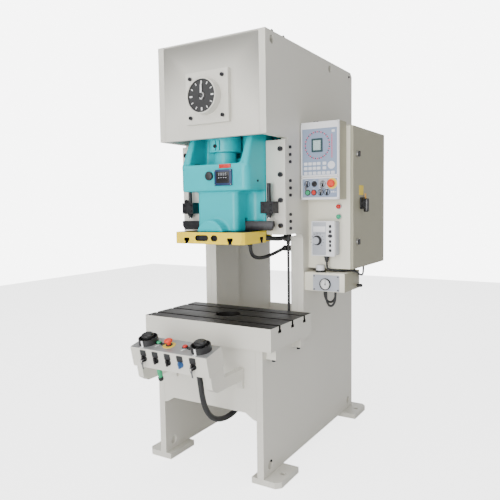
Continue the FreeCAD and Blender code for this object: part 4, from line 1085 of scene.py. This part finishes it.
DESK_EDGE = Vector((0, -894, 672))
DESK_LEAN = math.radians(13)
DESK_HIGH = 96
BUTTON_ROW = 59
CAP_HOLE, STEM_HOLE, PALM_HOLE, KNOB_HOLE = 11.3, 9.3, 12.3, 13.3


def local(x, depth, height, way="z", spin=0.0):
    """A placement on the tilted control box, from its front top edge."""
    lean = Matrix.Translation(DESK_EDGE * MM) @ Matrix.Rotation(DESK_LEAN, 4, "X")
    return lean @ at(x, depth, height, way, spin)


def bezel(name, where, radius, finish="black", high=2.5, body="frame", wall=4.0):
    """The collar round a push button or switch."""
    ring = [(radius, 0), (radius + wall, 0), (radius + wall, high * 0.6),
            (radius + wall * 0.6, high), (radius, high)]
    return settle(turned(name, ring, where, 36), finish, body)


def key(name, where, body, drop):
    """A key in its lock with a second one hanging from the ring."""
    def bow(bm):
        add_slab(bm, rounded_outline(-1, -9, 13, 9, 4, 3), -1.2, 1.2)
        bmesh.ops.rotate(bm, verts=bm.verts, matrix=Matrix.Rotation(math.pi / 2, 3, "X"))
        bmesh.ops.rotate(bm, verts=bm.verts, matrix=Matrix.Rotation(-math.pi / 2, 3, "Y"))
        round_edges(bm, 0.5)
    ring = [(8 + 0.9 * math.cos(a * math.pi / 4), 0.9 * math.sin(a * math.pi / 4))
            for a in range(8)]
    hang = Matrix.Translation(Vector((0, -4, 12)) * MM)
    pieces = [(bow, where),
              (lambda bm: add_turned(bm, ring, 20), where @ hang @ TURN["x"]),
              (box_filler((-4, -drop, 10), (4, -14, 12), 0.6), where),
              (disc_filler(6.5, 0, 2.4, 0.8, 20), where @ at(0, -18, 10))]
    return fit(name, pieces, "iron", body)


def button_body(node):
    """The body that a construction control moves with."""
    return frame["nodes"][node]["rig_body"]


# ---------------------------------------------------------------- cabinet

class PRESS_OT_cabinet(bpy.types.Operator):
    """Electrical cabinet with its door, latches, switch and lamps"""
    bl_idname = "press.cabinet"
    bl_label = "Cabinet"

    DOOR_FACE = 561
    SWITCH = (39, 1317)
    LATCHES = (("top", 1567), ("bottom", 1119))
    LAMPS = ((1301, "lamp_red", "red_plastic"), (1250, "lamp_green", "green_plastic"))

    def execute(self, context):
        shell = softened("cabinet_shell", "cabinet", 0)
        # Only the front faces keep the cream; the side and back faces take the darker copy as
        # painted shade.
        two_tone(shell, "cabinet_front", lambda c, n: n.y < -0.6 and c.y < -81)
        two_tone(shell, "lamp_red", lambda c, n: c.y < -84.4 and c.z > 1276)
        two_tone(shell, "lamp_green", lambda c, n: c.y < -84.4 and c.z <= 1276)
        for z, finish, slot in self.LAMPS:
            where = at(485, -84, z, "-y")
            bezel(f"{finish}_collar", where, 11, "steel", 4)
            dome = turned(f"{finish}_lens", [(0, 15)] + [
                (11.5 * math.cos(a), 15 + 7 * math.sin(a)) for a in
                (0.0, 0.35, 0.7, 1.05, 1.35)] + [(0, 22)], where, 32)
            settle(dome, finish, "frame")
        # The door takes the darker cabinet colour as painted shade.
        softened("cabinet_door", "cabinet", 0.002)
        self.door_parts()
        self.eaves()
        return {"FINISHED"}

    def eaves(self):
        """Rain lip round the door opening and the cable entries underneath."""
        fit("cabinet_lips", [
            box_filler((312, -86, 1706), (548, 416, 1709), 1),
            box_filler((545, -86, 1700), (549, 416, 1709), 1)], "cabinet")
        fit("cabinet_glands", [
            (disc_filler(14, 0, 16, 2, 24), at(x, y, 980, "-z"))
            for x, y in ((470, 60), (505, 60), (470, 110))], "black")

    def door_parts(self):
        """Latches, isolator handle, its plate and the padlock tab."""
        door = button_body("cabinet_door")
        for name, z in self.LATCHES:
            latch = softened(f"door_latch_{name}", "steel", 0.001)
            two_tone(latch, "black", lambda c, n: c.x > 565 and math.hypot(c.y + 30, c.z - z) < 12)
        handle_body = button_body("main_switch")
        where = at(self.DOOR_FACE, *self.SWITCH, "x")
        fit("switch_base", [
            (slab_filler(rounded_outline(-30, -30, 30, 30, 9), 0, 7, 1.5), where)], "black", door)
        grip = fit("switch_grip", [
            (turned_filler([(0, 7), (27, 7), (27, 16), (24, 20), (0, 20)], 40), where),
            (box_filler((-24, -11, 12), (46, 11, 37), 5, 3), where)], "gloss_black", handle_body)
        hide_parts("main_switch")
        fit("padlock_tab", [
            (slab_filler(rounded_outline(-7, -34, 7, 16, 5), 0, 4, 1), at(570, 66, 1352, "x", 90)),
            (disc_filler(10, 0, 6, 1.5), at(569, 66, 1338, "x"))], "amber", handle_body)
        fit("switch_plate", [
            (slab_filler(rounded_outline(-25, -32, 25, 32, 3), 0, 0.8, 0.3),
             at(self.DOOR_FACE, 30, 1384, "x"))], "yellow", door)


# ---------------------------------------------------------------- operator panel

class PRESS_OT_panel_box(bpy.types.Operator):
    """Operator panel with its angle ring, window, keys and controls"""
    bl_idname = "press.panel_box"
    bl_label = "Operator panel"

    FACE = -182.0
    RING = (409, 1608, 66)
    CAPS = {"panel_black_button": ("gloss_black", 392, 1416),
            "panel_green_button": ("green", 355, 1373), "panel_red_button": ("red", 389, 1373)}
    KNOBS = {"panel_key": (352, 1416), "panel_mode_lock": (438, 1416),
             "panel_selector_left": (426, 1373), "panel_selector_right": (460, 1373)}
    STOP = (488, 1416)
    KNOB_FACE = -188

    def flat(self, x, z, proud=0.0, spin=0.0):
        """A placement on the panel's face."""
        return at(x, self.FACE - proud, z, "-y", spin)

    def execute(self, context):
        # The housing's sides take the darker cabinet colour as painted shade.
        housing = softened("panel_housing", "cabinet", 0.0012)
        two_tone(housing, "white", lambda c, n: c.y < -175.6)
        two_tone(housing, "lcd_frame", lambda c, n: c.y < -182.4)
        plates = many("panel_plates", [
            slab_filler(rounded_outline(318, 1453, 522, 1722, 7), 176, 182, 1.4),
            slab_filler(rounded_outline(318, 1340, 522, 1450, 7), 176, 182, 1.4)])
        self.stand_up(plates)
        holes = [(self.flat(x, z), CAP_HOLE, 12) for _, x, z in self.CAPS.values()]
        holes.append((self.flat(*self.STOP), STEM_HOLE, 12))
        drill(plates, holes)
        settle(plates, "white", "frame")
        prints = many("panel_prints", [
            slab_filler(rounded_outline(326, 1461, 514, 1690, 3), 182, 182.5),
            slab_filler(rounded_outline(326, 1349, 514, 1442, 3), 182, 182.5)])
        self.stand_up(prints)
        drill(prints, holes)
        settle(prints, "panel")
        self.angle_ring(context.scene.press_sizes.dots)
        self.window()
        self.keypad()
        self.controls(context.scene.press_sizes.show_keys)
        fit("panel_top_bolts", [(disc_filler(6, 0, 9, 2, 20), at(x, -134, 1724))
                                        for x in (372, 388)], "black_steel")
        scatter_screws("panel_screws", [self.flat(x, z) for x in (322, 518)
                                        for z in (1344, 1446, 1457, 1718)], 2.2, "steel")
        return {"FINISHED"}

    @staticmethod
    def stand_up(obj):
        """Turns outlines drawn in XY, with depth along Z, to face the front."""
        for vertex in obj.data.vertices:
            x, z, depth = vertex.co
            vertex.co = (x, -depth, z)
        obj.data.flip_normals()

    def angle_ring(self, count):
        """Small lights in a ring, alternately red and dark."""
        x, z, radius = self.RING
        lit, dark = [], []
        for i in range(count):
            turn = 2 * math.pi * i / count
            where = self.flat(x + radius * math.sin(turn), z + radius * math.cos(turn), 0.5)
            (dark if i % 2 else lit).append((disc_filler(3.3, 0, 1.4, 0.5, 14), where))
        fit("angle_lights_lit", lit, "led")
        fit("angle_lights_dark", dark, "led_dark")

    def window(self):
        """The display window in its dark frame, and the bar scale beside it."""
        fit("display_frame", [
            (slab_filler(rounded_outline(-30, -34, 30, 34, 5), 0, 3.4, 1.2),
             self.flat(408, 1607.5, 0.4))], "lcd_frame")
        fit("display_glass", [
            (slab_filler(rounded_outline(-20, -24, 20, 24, 1.5), 0, 0.9, 0.3),
             self.flat(408, 1607.5, 3.4))], "lcd", "frame")
        bars = [(box_filler((-1.1, -58, 0), (1.1, 58, 0.6)), self.flat(487, 1600, 0.5))]
        bars += [(box_filler((-3.2, -0.7, 0), (3.2, 0.7, 0.9)), self.flat(487, z, 0.5))
                 for z in range(1545, 1660, 8)]
        fit("bar_scale", bars, "led")
        fit("scale_badge", [(slab_filler(rounded_outline(-8, -6, 8, 6, 2), 0, 0.7, 0.2),
                                     self.flat(494, 1673, 0.5))], "pale")

    def keypad(self):
        """Membrane keys: two rows of four, a pair, a round pad and a row of seven."""
        keys = [(x, z, 9.5, 7.5) for z in (1517, 1494) for x in (345, 369, 393, 416, 447)]
        keys += [(345 + 24.5 * i, 1470, 9.5, 7.5) for i in range(7)]
        fillers = [(slab_filler(rounded_outline(-w, -h, w, h, 3, 4), 0, 1.5, 0.5),
                    self.flat(x, z, 0.5)) for x, z, w, h in keys]
        fillers.append((turned_filler([(0, 0), (19, 0), (19, 1.2), (17, 2), (8, 2),
                                       (7, 1.2), (0, 1.2)], 36), self.flat(484, 1507, 0.5)))
        fit("membrane_keys", fillers, "pale")

    def controls(self, keys):
        """Buttons, switches and the stop button in their collars."""
        for node, (finish, x, z) in self.CAPS.items():
            softened(node, finish, 0.0016, segments=3)
            bezel(node + "_collar", self.flat(x, z, -0.5), CAP_HOLE, "black", 4)
        for node, (x, z) in self.KNOBS.items():
            softened(node, "gloss_black", 0.0012)
            bezel(node + "_collar", self.flat(x, z, -0.5), KNOB_HOLE, "black", 3, wall=3)
            fit(node + "_mark", [(box_filler((-0.9, 3, 0), (0.9, 12, 0.5)),
                                          at(x, self.KNOB_FACE, z, "-y"))],
                "mark", button_body(node))
        softened("panel_stop", "orange_red", 0.004, segments=3)
        collar = turned("panel_stop_plate", [
            (STEM_HOLE, 0), (27, 0), (27, 2.4), (25, 3.2), (STEM_HOLE, 3.2)],
                        self.flat(*self.STOP, -0.5), 44)
        settle(collar, "yellow")
        fit("mode_legend", [(slab_filler(
            rounded_outline(-22, -21, 24, 22, 2), 0, 1.6, 0.4), self.flat(438, 1417, 0.3))], "grey")
        icons = [(box_filler((0, 0, 0), (w, h, 0.4)), self.flat(x, z, 0.5)) for x, z, w, h in
                 ((482, 1372, 8, 5), (494, 1371, 5, 8), (503, 1372, 7, 3), (343, 1434, 14, 2),
                  (384, 1434, 14, 2), (349, 1391, 10, 2), (383, 1391, 10, 2),
                  (420, 1391, 10, 2), (454, 1391, 10, 2))]
        fit("panel_icons", icons, "mark", "frame")
        if keys:
            for name, node, drop in (("panel_key_bow", "panel_key", 34),
                                     ("mode_key_bow", "panel_mode_lock", 48)):
                x, z = self.KNOBS[node]
                key(name, at(x, self.KNOB_FACE, z, "-y"), button_body(node), drop)


# ---------------------------------------------------------------- speed and air boxes

class PRESS_OT_speed_box(bpy.types.Operator):
    """Motor-speed box with its knob and cable gland"""
    bl_idname = "press.speed_box"
    bl_label = "Speed box"

    MIDDLE = (425.5, -156, 1139.5)
    KNOB = (395, 1130)

    def execute(self, context):
        case = fit("speed_case", [
            box_filler((366, -134, 1054), (487, -84.2, 1225), 3)], "grey")
        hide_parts("speed_box")
        fit("speed_lid", [
            (slab_filler(rounded_outline(-63.5, -89.5, 63.5, 89.5, 5), 0, 22, 3, 3),
             at(425.5, -134, 1139.5, "-y"))], "white")
        fit("speed_face", [(box_filler((-58, -84, 0), (17, 84, 0.8), 0.3),
                                    at(*self.MIDDLE, "-y"))], "grey")
        fit("speed_strip", [(box_filler((-54, 34, 0), (14, 62, 1.3), 0.3),
                                      at(*self.MIDDLE, "-y"))], "white")
        ink = []
        for z, wide, high in ((62, 7, 9), (36, 8, 9), (14, 13, 9), (-14, 7, 8), (-34, 6, 9),
                              (-60, 8, 8)):
            ink.append((slab_filler(rounded_outline(-wide, -high, wide, high, wide * 0.8, 4),
                                    0, 0.5), at(465, -156, 1139.5 + z, "-y") @
                        Matrix.Scale(0.95, 4)))
        ink += [(box_filler((-22 + i * 6, 26, 0.8), (-20 + i * 6, 30, 1.2)),
                 at(411, -156, 1139.5, "-y")) for i in range(9)]
        x, z = self.KNOB
        ink += [(box_filler((-1, 32, 0), (1, 38, 0.5)), at(x, -156.8, z, "-y") @
                 Matrix.Rotation(math.radians(a), 4, "Z")) for a in range(-135, 136, 27)]
        fit("speed_icons", ink, "ink")
        knob = softened("speed_knob", "grey", 0.0016)
        two_tone(knob, "black", lambda c, n: math.hypot(c.x - self.KNOB[0],
                                                             c.z - self.KNOB[1]) > 18)
        gland = [(0, 0), (15, 0), (15, 6), (13, 6), (13, 12), (11, 12), (11, 22), (9, 27),
                 (8, 34), (0, 34)]
        piece = turned("speed_gland", gland, at(427, -111, 1050, "-z"), 28)
        settle(piece, "black", "frame")
        return {"FINISHED"}


class PRESS_OT_air_box(bpy.types.Operator):
    """Air box with its gauge, regulator and plate"""
    bl_idname = "press.air_box"
    bl_label = "Air box"

    FRONT = -134

    def execute(self, context):
        case = fit("air_case", [box_filler((312, -134, 865), (534, 79, 962), 2.4)],
                   "cabinet_front")
        # The right side and the back take the darker cabinet colour as painted shade.
        two_tone(case, "cabinet", lambda c, n: n.x > 0.7 or n.y > 0.7)
        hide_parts("air_box")
        fit("air_plate", [(slab_filler(rounded_outline(-73, -41.5, 73, 41.5, 3), 0,
            2.2, 0.6), at(433, self.FRONT, 909.5, "-y"))], "grey")
        scatter_screws("air_screws", [at(x, self.FRONT - 2.2, z, "-y") for x in (367, 499)
                                      for z in (875, 944)], 3.6)
        self.gauge()
        knob = softened("regulator_knob", "white", 0.003, segments=3)
        two_tone(knob, "black", lambda c, n: c.z < 976)
        flange = turned("regulator_collar", [(0, 0), (27, 0), (27, 5), (24, 8), (0, 8)],
                        at(390, -109, 962), 40)
        settle(flange, "black")
        silencer = turned("air_silencer", [(0, 0), (8, 0), (8, 6), (9, 7), (9, 24), (6, 28),
                                           (0, 28)], at(534, 46, 881, "x"), 24)
        settle(silencer, "black")
        fit("air_nipples", [(slab_filler(hexagon(9), 0, 12, 1), at(x, y, 865, "-z"))
                                       for x, y in ((395, -46), (448, -46), (368, -4),
                                                    (431, -4))], "brass")
        return {"FINISHED"}

    def gauge(self):
        """Black rim, white face with generic marks, needle and hub."""
        where = at(430, self.FRONT, 904, "-y")
        rim = turned("gauge_rim", [(26, 0), (30.5, 0), (30.5, 11), (29, 13.5), (26.6, 13.5),
                                   (26, 8)], where, 56)
        settle(rim, "gloss_black")
        settle(turned("gauge_face", [(0, 0), (26.4, 0), (26.4, 6), (0, 6)], where, 48), "mark")
        ticks = []
        for i in range(41):
            angle = math.radians(225 - 270 * i / 40)
            long = 4.5 if i % 5 == 0 else 2.4
            ticks.append((box_filler((23.5 - long, -0.35, 6), (23.5, 0.35, 6.3)),
                          where @ Matrix.Rotation(angle, 4, "Z")))
        fit("gauge_marks", ticks, "ink")
        softened("gauge_needle", "ink", 0.0003)
        hub = turned("gauge_hub", [(0, 6), (3.4, 6), (3.4, 9), (0, 9)], where, 20)
        settle(hub, "ink", button_body("gauge_needle"))


# ---------------------------------------------------------------- two-hand control box

class PRESS_OT_desk(bpy.types.Operator):
    """Two-hand control box on its arms"""
    bl_idname = "press.desk"
    bl_label = "Control box"

    SWITCHES = (-140, -70, 0, 70, 140)
    PALMS = {"palm_button_left": -150, "palm_button_right": 150}
    BUTTONS = {"desk_green_button": ("green", -88), "desk_red_button": ("red", 62)}
    STOP = -30

    def execute(self, context):
        def height(c):
            """Height above the tilted top."""
            return ((c.z - DESK_EDGE.z) * math.cos(DESK_LEAN)
                    - (c.y - DESK_EDGE.y) * math.sin(DESK_LEAN))
        case = softened("control_box", "enamel", 0.0018)
        two_tone(case, "desk_top", lambda c, n: abs(height(c)) < 1.2 and n.z > 0.9)
        two_tone(case, "black", lambda c, n: height(c) > 1.2)
        top = many("desk_plate", [(slab_filler(rounded_outline(-214, 3, 214, 115, 3), 0.1, 1.4,
                                               0.5), local(0, 0, 0))])
        holes = [(x, CAP_HOLE) for _, x in self.BUTTONS.values()]
        holes += [(self.STOP, STEM_HOLE)] + [(x, PALM_HOLE) for x in self.PALMS.values()]
        drill(top, [(local(x, BUTTON_ROW, 0), radius, 5) for x, radius in holes])
        settle(top, "desk_top")
        softened("control_arms", "enamel", 0.0016)
        self.palms()
        self.buttons()
        self.switches(context.scene.press_sizes.show_keys)
        fit("desk_coupling", [
            (turned_filler([(0, 0), (14, 0), (14, 10), (11, 12), (12, 44), (10, 62), (0, 62)],
                           28), local(-99, 38, -DESK_HIGH, "-z"))], "green")
        fit("coupling_ring", [
            (turned_filler([(0, 62), (13, 62), (13, 74), (9, 80), (0, 80)], 28),
             local(-99, 38, -DESK_HIGH, "-z"))], "black")
        scatter_screws("desk_screws", [local(s * 204, d, 1.4) for s in (-1, 1)
                                       for d in (12, 106)], 3.4, "steel")
        scatter_screws("arm_screws", [at(s * 196, -640, 498, "-z") for s in (-1, 1)], 7)
        return {"FINISHED"}

    def palms(self):
        """The two palm buttons with the stripes in front of them."""
        for node, x in self.PALMS.items():
            softened(node, "gloss_black", 0.003, segments=3)
            fit(node + "_stripe", [
                (slab_filler([(-10, 1.5), (10, 1.5), (6, 24), (-6, 24)], 1.4, 2.0), local(
                    x, 0, 0)),
                (box_filler((-5, 12.4, 2), (5, 18, 29.5), 0.8), local(x, 0, 0))], "mark")

    def buttons(self):
        """Two push buttons and the stop button with their legends."""
        for node, (finish, x) in self.BUTTONS.items():
            softened(node, finish, 0.0016, segments=3)
            bezel(node + "_collar", local(x, BUTTON_ROW, 1), CAP_HOLE, "steel", 4)
            wedge = fit(node + "_legend", [
                (slab_filler([(14, -8), (30, -12), (34, 14), (14, 8)], 1.4, 5, 1), local(
                    x, BUTTON_ROW, 0)),
                (slab_filler([(-5, -30), (4, -30), (2, -15), (-3, -15)], 1.4, 2), local(
                    x, BUTTON_ROW, 0))], "black")
            two_tone(wedge, "mark", lambda c, n, x=x: c.x < x + 10)
        softened("desk_stop", "orange_red", 0.004, segments=3)
        disc = turned("desk_stop_plate", [(STEM_HOLE, 0), (30, 0), (30, 2),
                                          (STEM_HOLE, 2)],
                      local(self.STOP, BUTTON_ROW, 1.2), 44)
        settle(disc, "yellow")

    def switches(self, keys):
        """Five front switches under their legend plates."""
        plates = []
        for i, x in enumerate(self.SWITCHES):
            node = f"desk_selector_{i + 1}"
            softened(node, "blue" if i == 3 else "gloss_black", 0.0012)
            bezel(node + "_collar", local(x, 0, -DESK_HIGH / 2, "-y"), KNOB_HOLE,
                  "blue" if i == 3 else "black", 3.5, wall=3)
            plates.append((slab_filler(rounded_outline(-16, 12, 16, 40, 2), 0, 3.5, 0.8),
                           local(x, 0, -DESK_HIGH / 2, "-y")))
            if keys and i in (0, 4):
                key(node + "_key", local(x, -8, -DESK_HIGH / 2, "-y"), button_body(node), 46)
        fit("switch_legends", plates, "black")


# ---------------------------------------------------------------- hoses

LOOP_FRONT = ((0.395, -0.046, 0.865), (0.395, -0.046, 0.826), (0.399, -0.046, 0.796),
              (0.411, -0.046, 0.775), (0.430, -0.046, 0.775), (0.443, -0.046, 0.796),
              (0.448, -0.046, 0.826), (0.448, -0.046, 0.865))
LOOP_REAR = ((0.368, -0.006, 0.865), (0.368, -0.006, 0.832), (0.373, -0.005, 0.806),
             (0.389, -0.004, 0.788), (0.410, -0.004, 0.788), (0.426, -0.003, 0.806),
             (0.431, -0.002, 0.832), (0.431, -0.002, 0.865))
SPEED_CABLE = ((0.427, -0.111, 1.016), (0.427, -0.111, 0.996), (0.434, -0.110, 0.980),
               (0.453, -0.099, 0.973), (0.478, -0.080, 0.971), (0.504, -0.056, 0.971),
               (0.530, -0.031, 0.970), (0.547, 0.002, 0.960), (0.549, 0.044, 0.940),
               (0.547, 0.086, 0.932), (0.541, 0.117, 0.940), (0.540, 0.124, 0.958),
               (0.540, 0.124, 0.980))


class PRESS_OT_hoses(bpy.types.Operator):
    """Conduit, air hoses and the hoses that run to the slide"""
    bl_idname = "press.hoses"
    bl_label = "Hoses"

    CONDUIT = ((0.129, -0.833, 0.5873), (0.129, -0.820, 0.531), (0.123, -0.802, 0.464),
               (0.114, -0.768, 0.396), (0.107, -0.716, 0.337), (0.105, -0.652, 0.303),
               (0.116, -0.586, 0.297), (0.132, -0.528, 0.320), (0.141, -0.488, 0.370),
               (0.143, -0.472, 0.434), (0.143, -0.472, 0.500))
    SLIDE_HOSE = ((0.160, -0.432, 1.128), (0.160, -0.432, 1.096), (0.157, -0.404, 1.063),
                  (0.156, -0.350, 1.047), (0.162, -0.290, 1.047), (0.178, -0.232, 1.060),
                  (0.200, -0.188, 1.078), (0.206, -0.166, 1.085), (0.206, -0.150, 1.085))
    SLIDE_CONDUIT = ((0.189, -0.352, 1.150), (0.189, -0.320, 1.150), (0.196, -0.268, 1.142),
                     (0.212, -0.222, 1.139), (0.222, -0.196, 1.143), (0.222, -0.172, 1.143))
    RISER = ((0.231, -0.162, 0.648), (0.231, -0.162, 0.752), (0.232, -0.163, 0.870),
             (0.231, -0.162, 0.990), (0.231, -0.162, 1.122))

    def execute(self, context):
        conduit = pipe("control_conduit_tube", self.CONDUIT, 0.013, "rubber", "frame")
        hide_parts("control_conduit")
        self.moving("slide_hose_tube", self.SLIDE_HOSE, 0.009)
        self.moving("slide_conduit_tube", self.SLIDE_CONDUIT, 0.012)
        self.held()
        self.fittings()
        return {"FINISHED"}

    def moving(self, name, points, radius):
        """A hose from the frame to the slide, drawn as one mesh where it lies."""
        tube = pipe(name + "_line", points, radius, "rubber", "frame", 12)
        obj = mesh_copy(tube, name)
        obj.data.materials.clear()
        obj.data.materials.append(FINISHES["rubber"])
        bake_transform(obj)
        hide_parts("slide_hose")

    def held(self):
        """Hoses that stay with the frame."""
        routes = ((self.RISER, 0.007), (LOOP_FRONT, 0.006), (LOOP_REAR, 0.006),
                  (SPEED_CABLE, 0.005))
        for i, (points, radius) in enumerate(routes):
            tube = pipe(f"air_hose_{i}", points, radius, "rubber", "frame")
            if i == 0:
                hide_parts("air_hoses")

    def fittings(self):
        """Elbow, clamp and socket where the hoses end."""
        fit("hose_elbow", [
            box_filler((207, -172, 1122), (240, -138, 1164), 5, 3),
            box_filler((194, -150, 1070), (240, -130, 1100), 4, 3),
            (turned_filler([(0, 0), (12, 0), (12, 16), (9, 18), (0, 18)], 24),
             at(206, -150, 1085, "-y")),
            (turned_filler([(0, 0), (9, 0), (9, 18), (7, 20), (0, 20)], 24),
             at(222, -172, 1143, "-y")),
            (turned_filler([(0, 0), (10, 0), (10, 14), (8, 16), (0, 16)], 24),
             at(231, -162, 1122, "-z"))], "black")
        ends = fit("slide_fittings", [
            (slab_filler(hexagon(13), 0, 14, 1.5), at(160, -432, 1128, "-z")),
            (slab_filler(hexagon(11), 0, 16, 1.5), at(189, -352, 1150, "y"))],
            "green", "slide")
        two_tone(ends, "black", lambda c, n: c.z < 1135)
        socket = turned("conduit_socket", [(13.4, 0), (30, 0), (30, 14), (26, 22), (20, 30),
                                           (13.4, 30)], at(143, -472, 530, "-z"), 32)
        settle(socket, "black")
        fit("socket_bracket", [
            box_filler((113, -569, 501), (173, -442, 530), 3)], "enamel")
        fit("conduit_nut", [(turned_filler(
            [(0, 0), (19, 0), (19, 6), (17, 18), (0, 18)], 32),
            local(129, 82.5, -DESK_HIGH, "-z"))], "black")


# ---------------------------------------------------------------- drive

class PRESS_OT_drive(bpy.types.Operator):
    """Flywheel, motor and belts in the head"""
    bl_idname = "press.drive"
    bl_label = "Drive"

    def execute(self, context):
        softened("flywheel", "iron", 0.002)
        softened("motor_pulley", "iron", 0.001)
        paint_node("drive_belts", "belt")
        # The motor takes the darker copy of the slide enamel as painted shade.
        motor = softened("drive_motor", "slide_painted_shade", 0.003)
        two_tone(motor, "steel", lambda c, n: c.y > 362)
        return {"FINISHED"}


# ---------------------------------------------------------------- add-on

OPERATORS = (PRESS_OT_stage, PRESS_OT_frame, PRESS_OT_dial, PRESS_OT_slide, PRESS_OT_meter,
             PRESS_OT_knockout, PRESS_OT_table, PRESS_OT_cabinet, PRESS_OT_panel_box,
             PRESS_OT_speed_box, PRESS_OT_air_box, PRESS_OT_desk, PRESS_OT_hoses,
             PRESS_OT_drive)


class PRESS_PT_panel(bpy.types.Panel):
    """Sidebar panel with the settings and one button per group"""
    bl_label = "Stamping press"
    bl_idname = "PRESS_PT_panel"
    bl_space_type = "VIEW_3D"
    bl_region_type = "UI"
    bl_category = "Press"

    def draw(self, context):
        for group in (context.scene.press_colours, context.scene.press_sizes):
            column = self.layout.column()
            for name in group.bl_rna.properties.keys():
                if name not in ("rna_type", "name"):
                    column.prop(group, name)
        column = self.layout.column(align=True)
        for operator in OPERATORS:
            column.operator(operator.bl_idname)


CLASSES = (PressColours, PressSizes, *OPERATORS, PRESS_PT_panel)


def register():
    """Adds the settings, operators and panel to Blender."""
    for cls in CLASSES:
        bpy.utils.register_class(cls)
    bpy.types.Scene.press_colours = PointerProperty(type=PressColours)
    bpy.types.Scene.press_sizes = PointerProperty(type=PressSizes)


def unregister():
    """Takes them away again."""
    del bpy.types.Scene.press_sizes
    del bpy.types.Scene.press_colours
    for cls in reversed(CLASSES):
        bpy.utils.unregister_class(cls)


def main():
    """Builds the whole finished machine."""
    register()
    make_finishes(bpy.context.scene.press_colours)
    for operator in OPERATORS:
        group, name = operator.bl_idname.split(".")
        getattr(getattr(bpy.ops, group), name)()


if __name__ == "__main__":
    main()
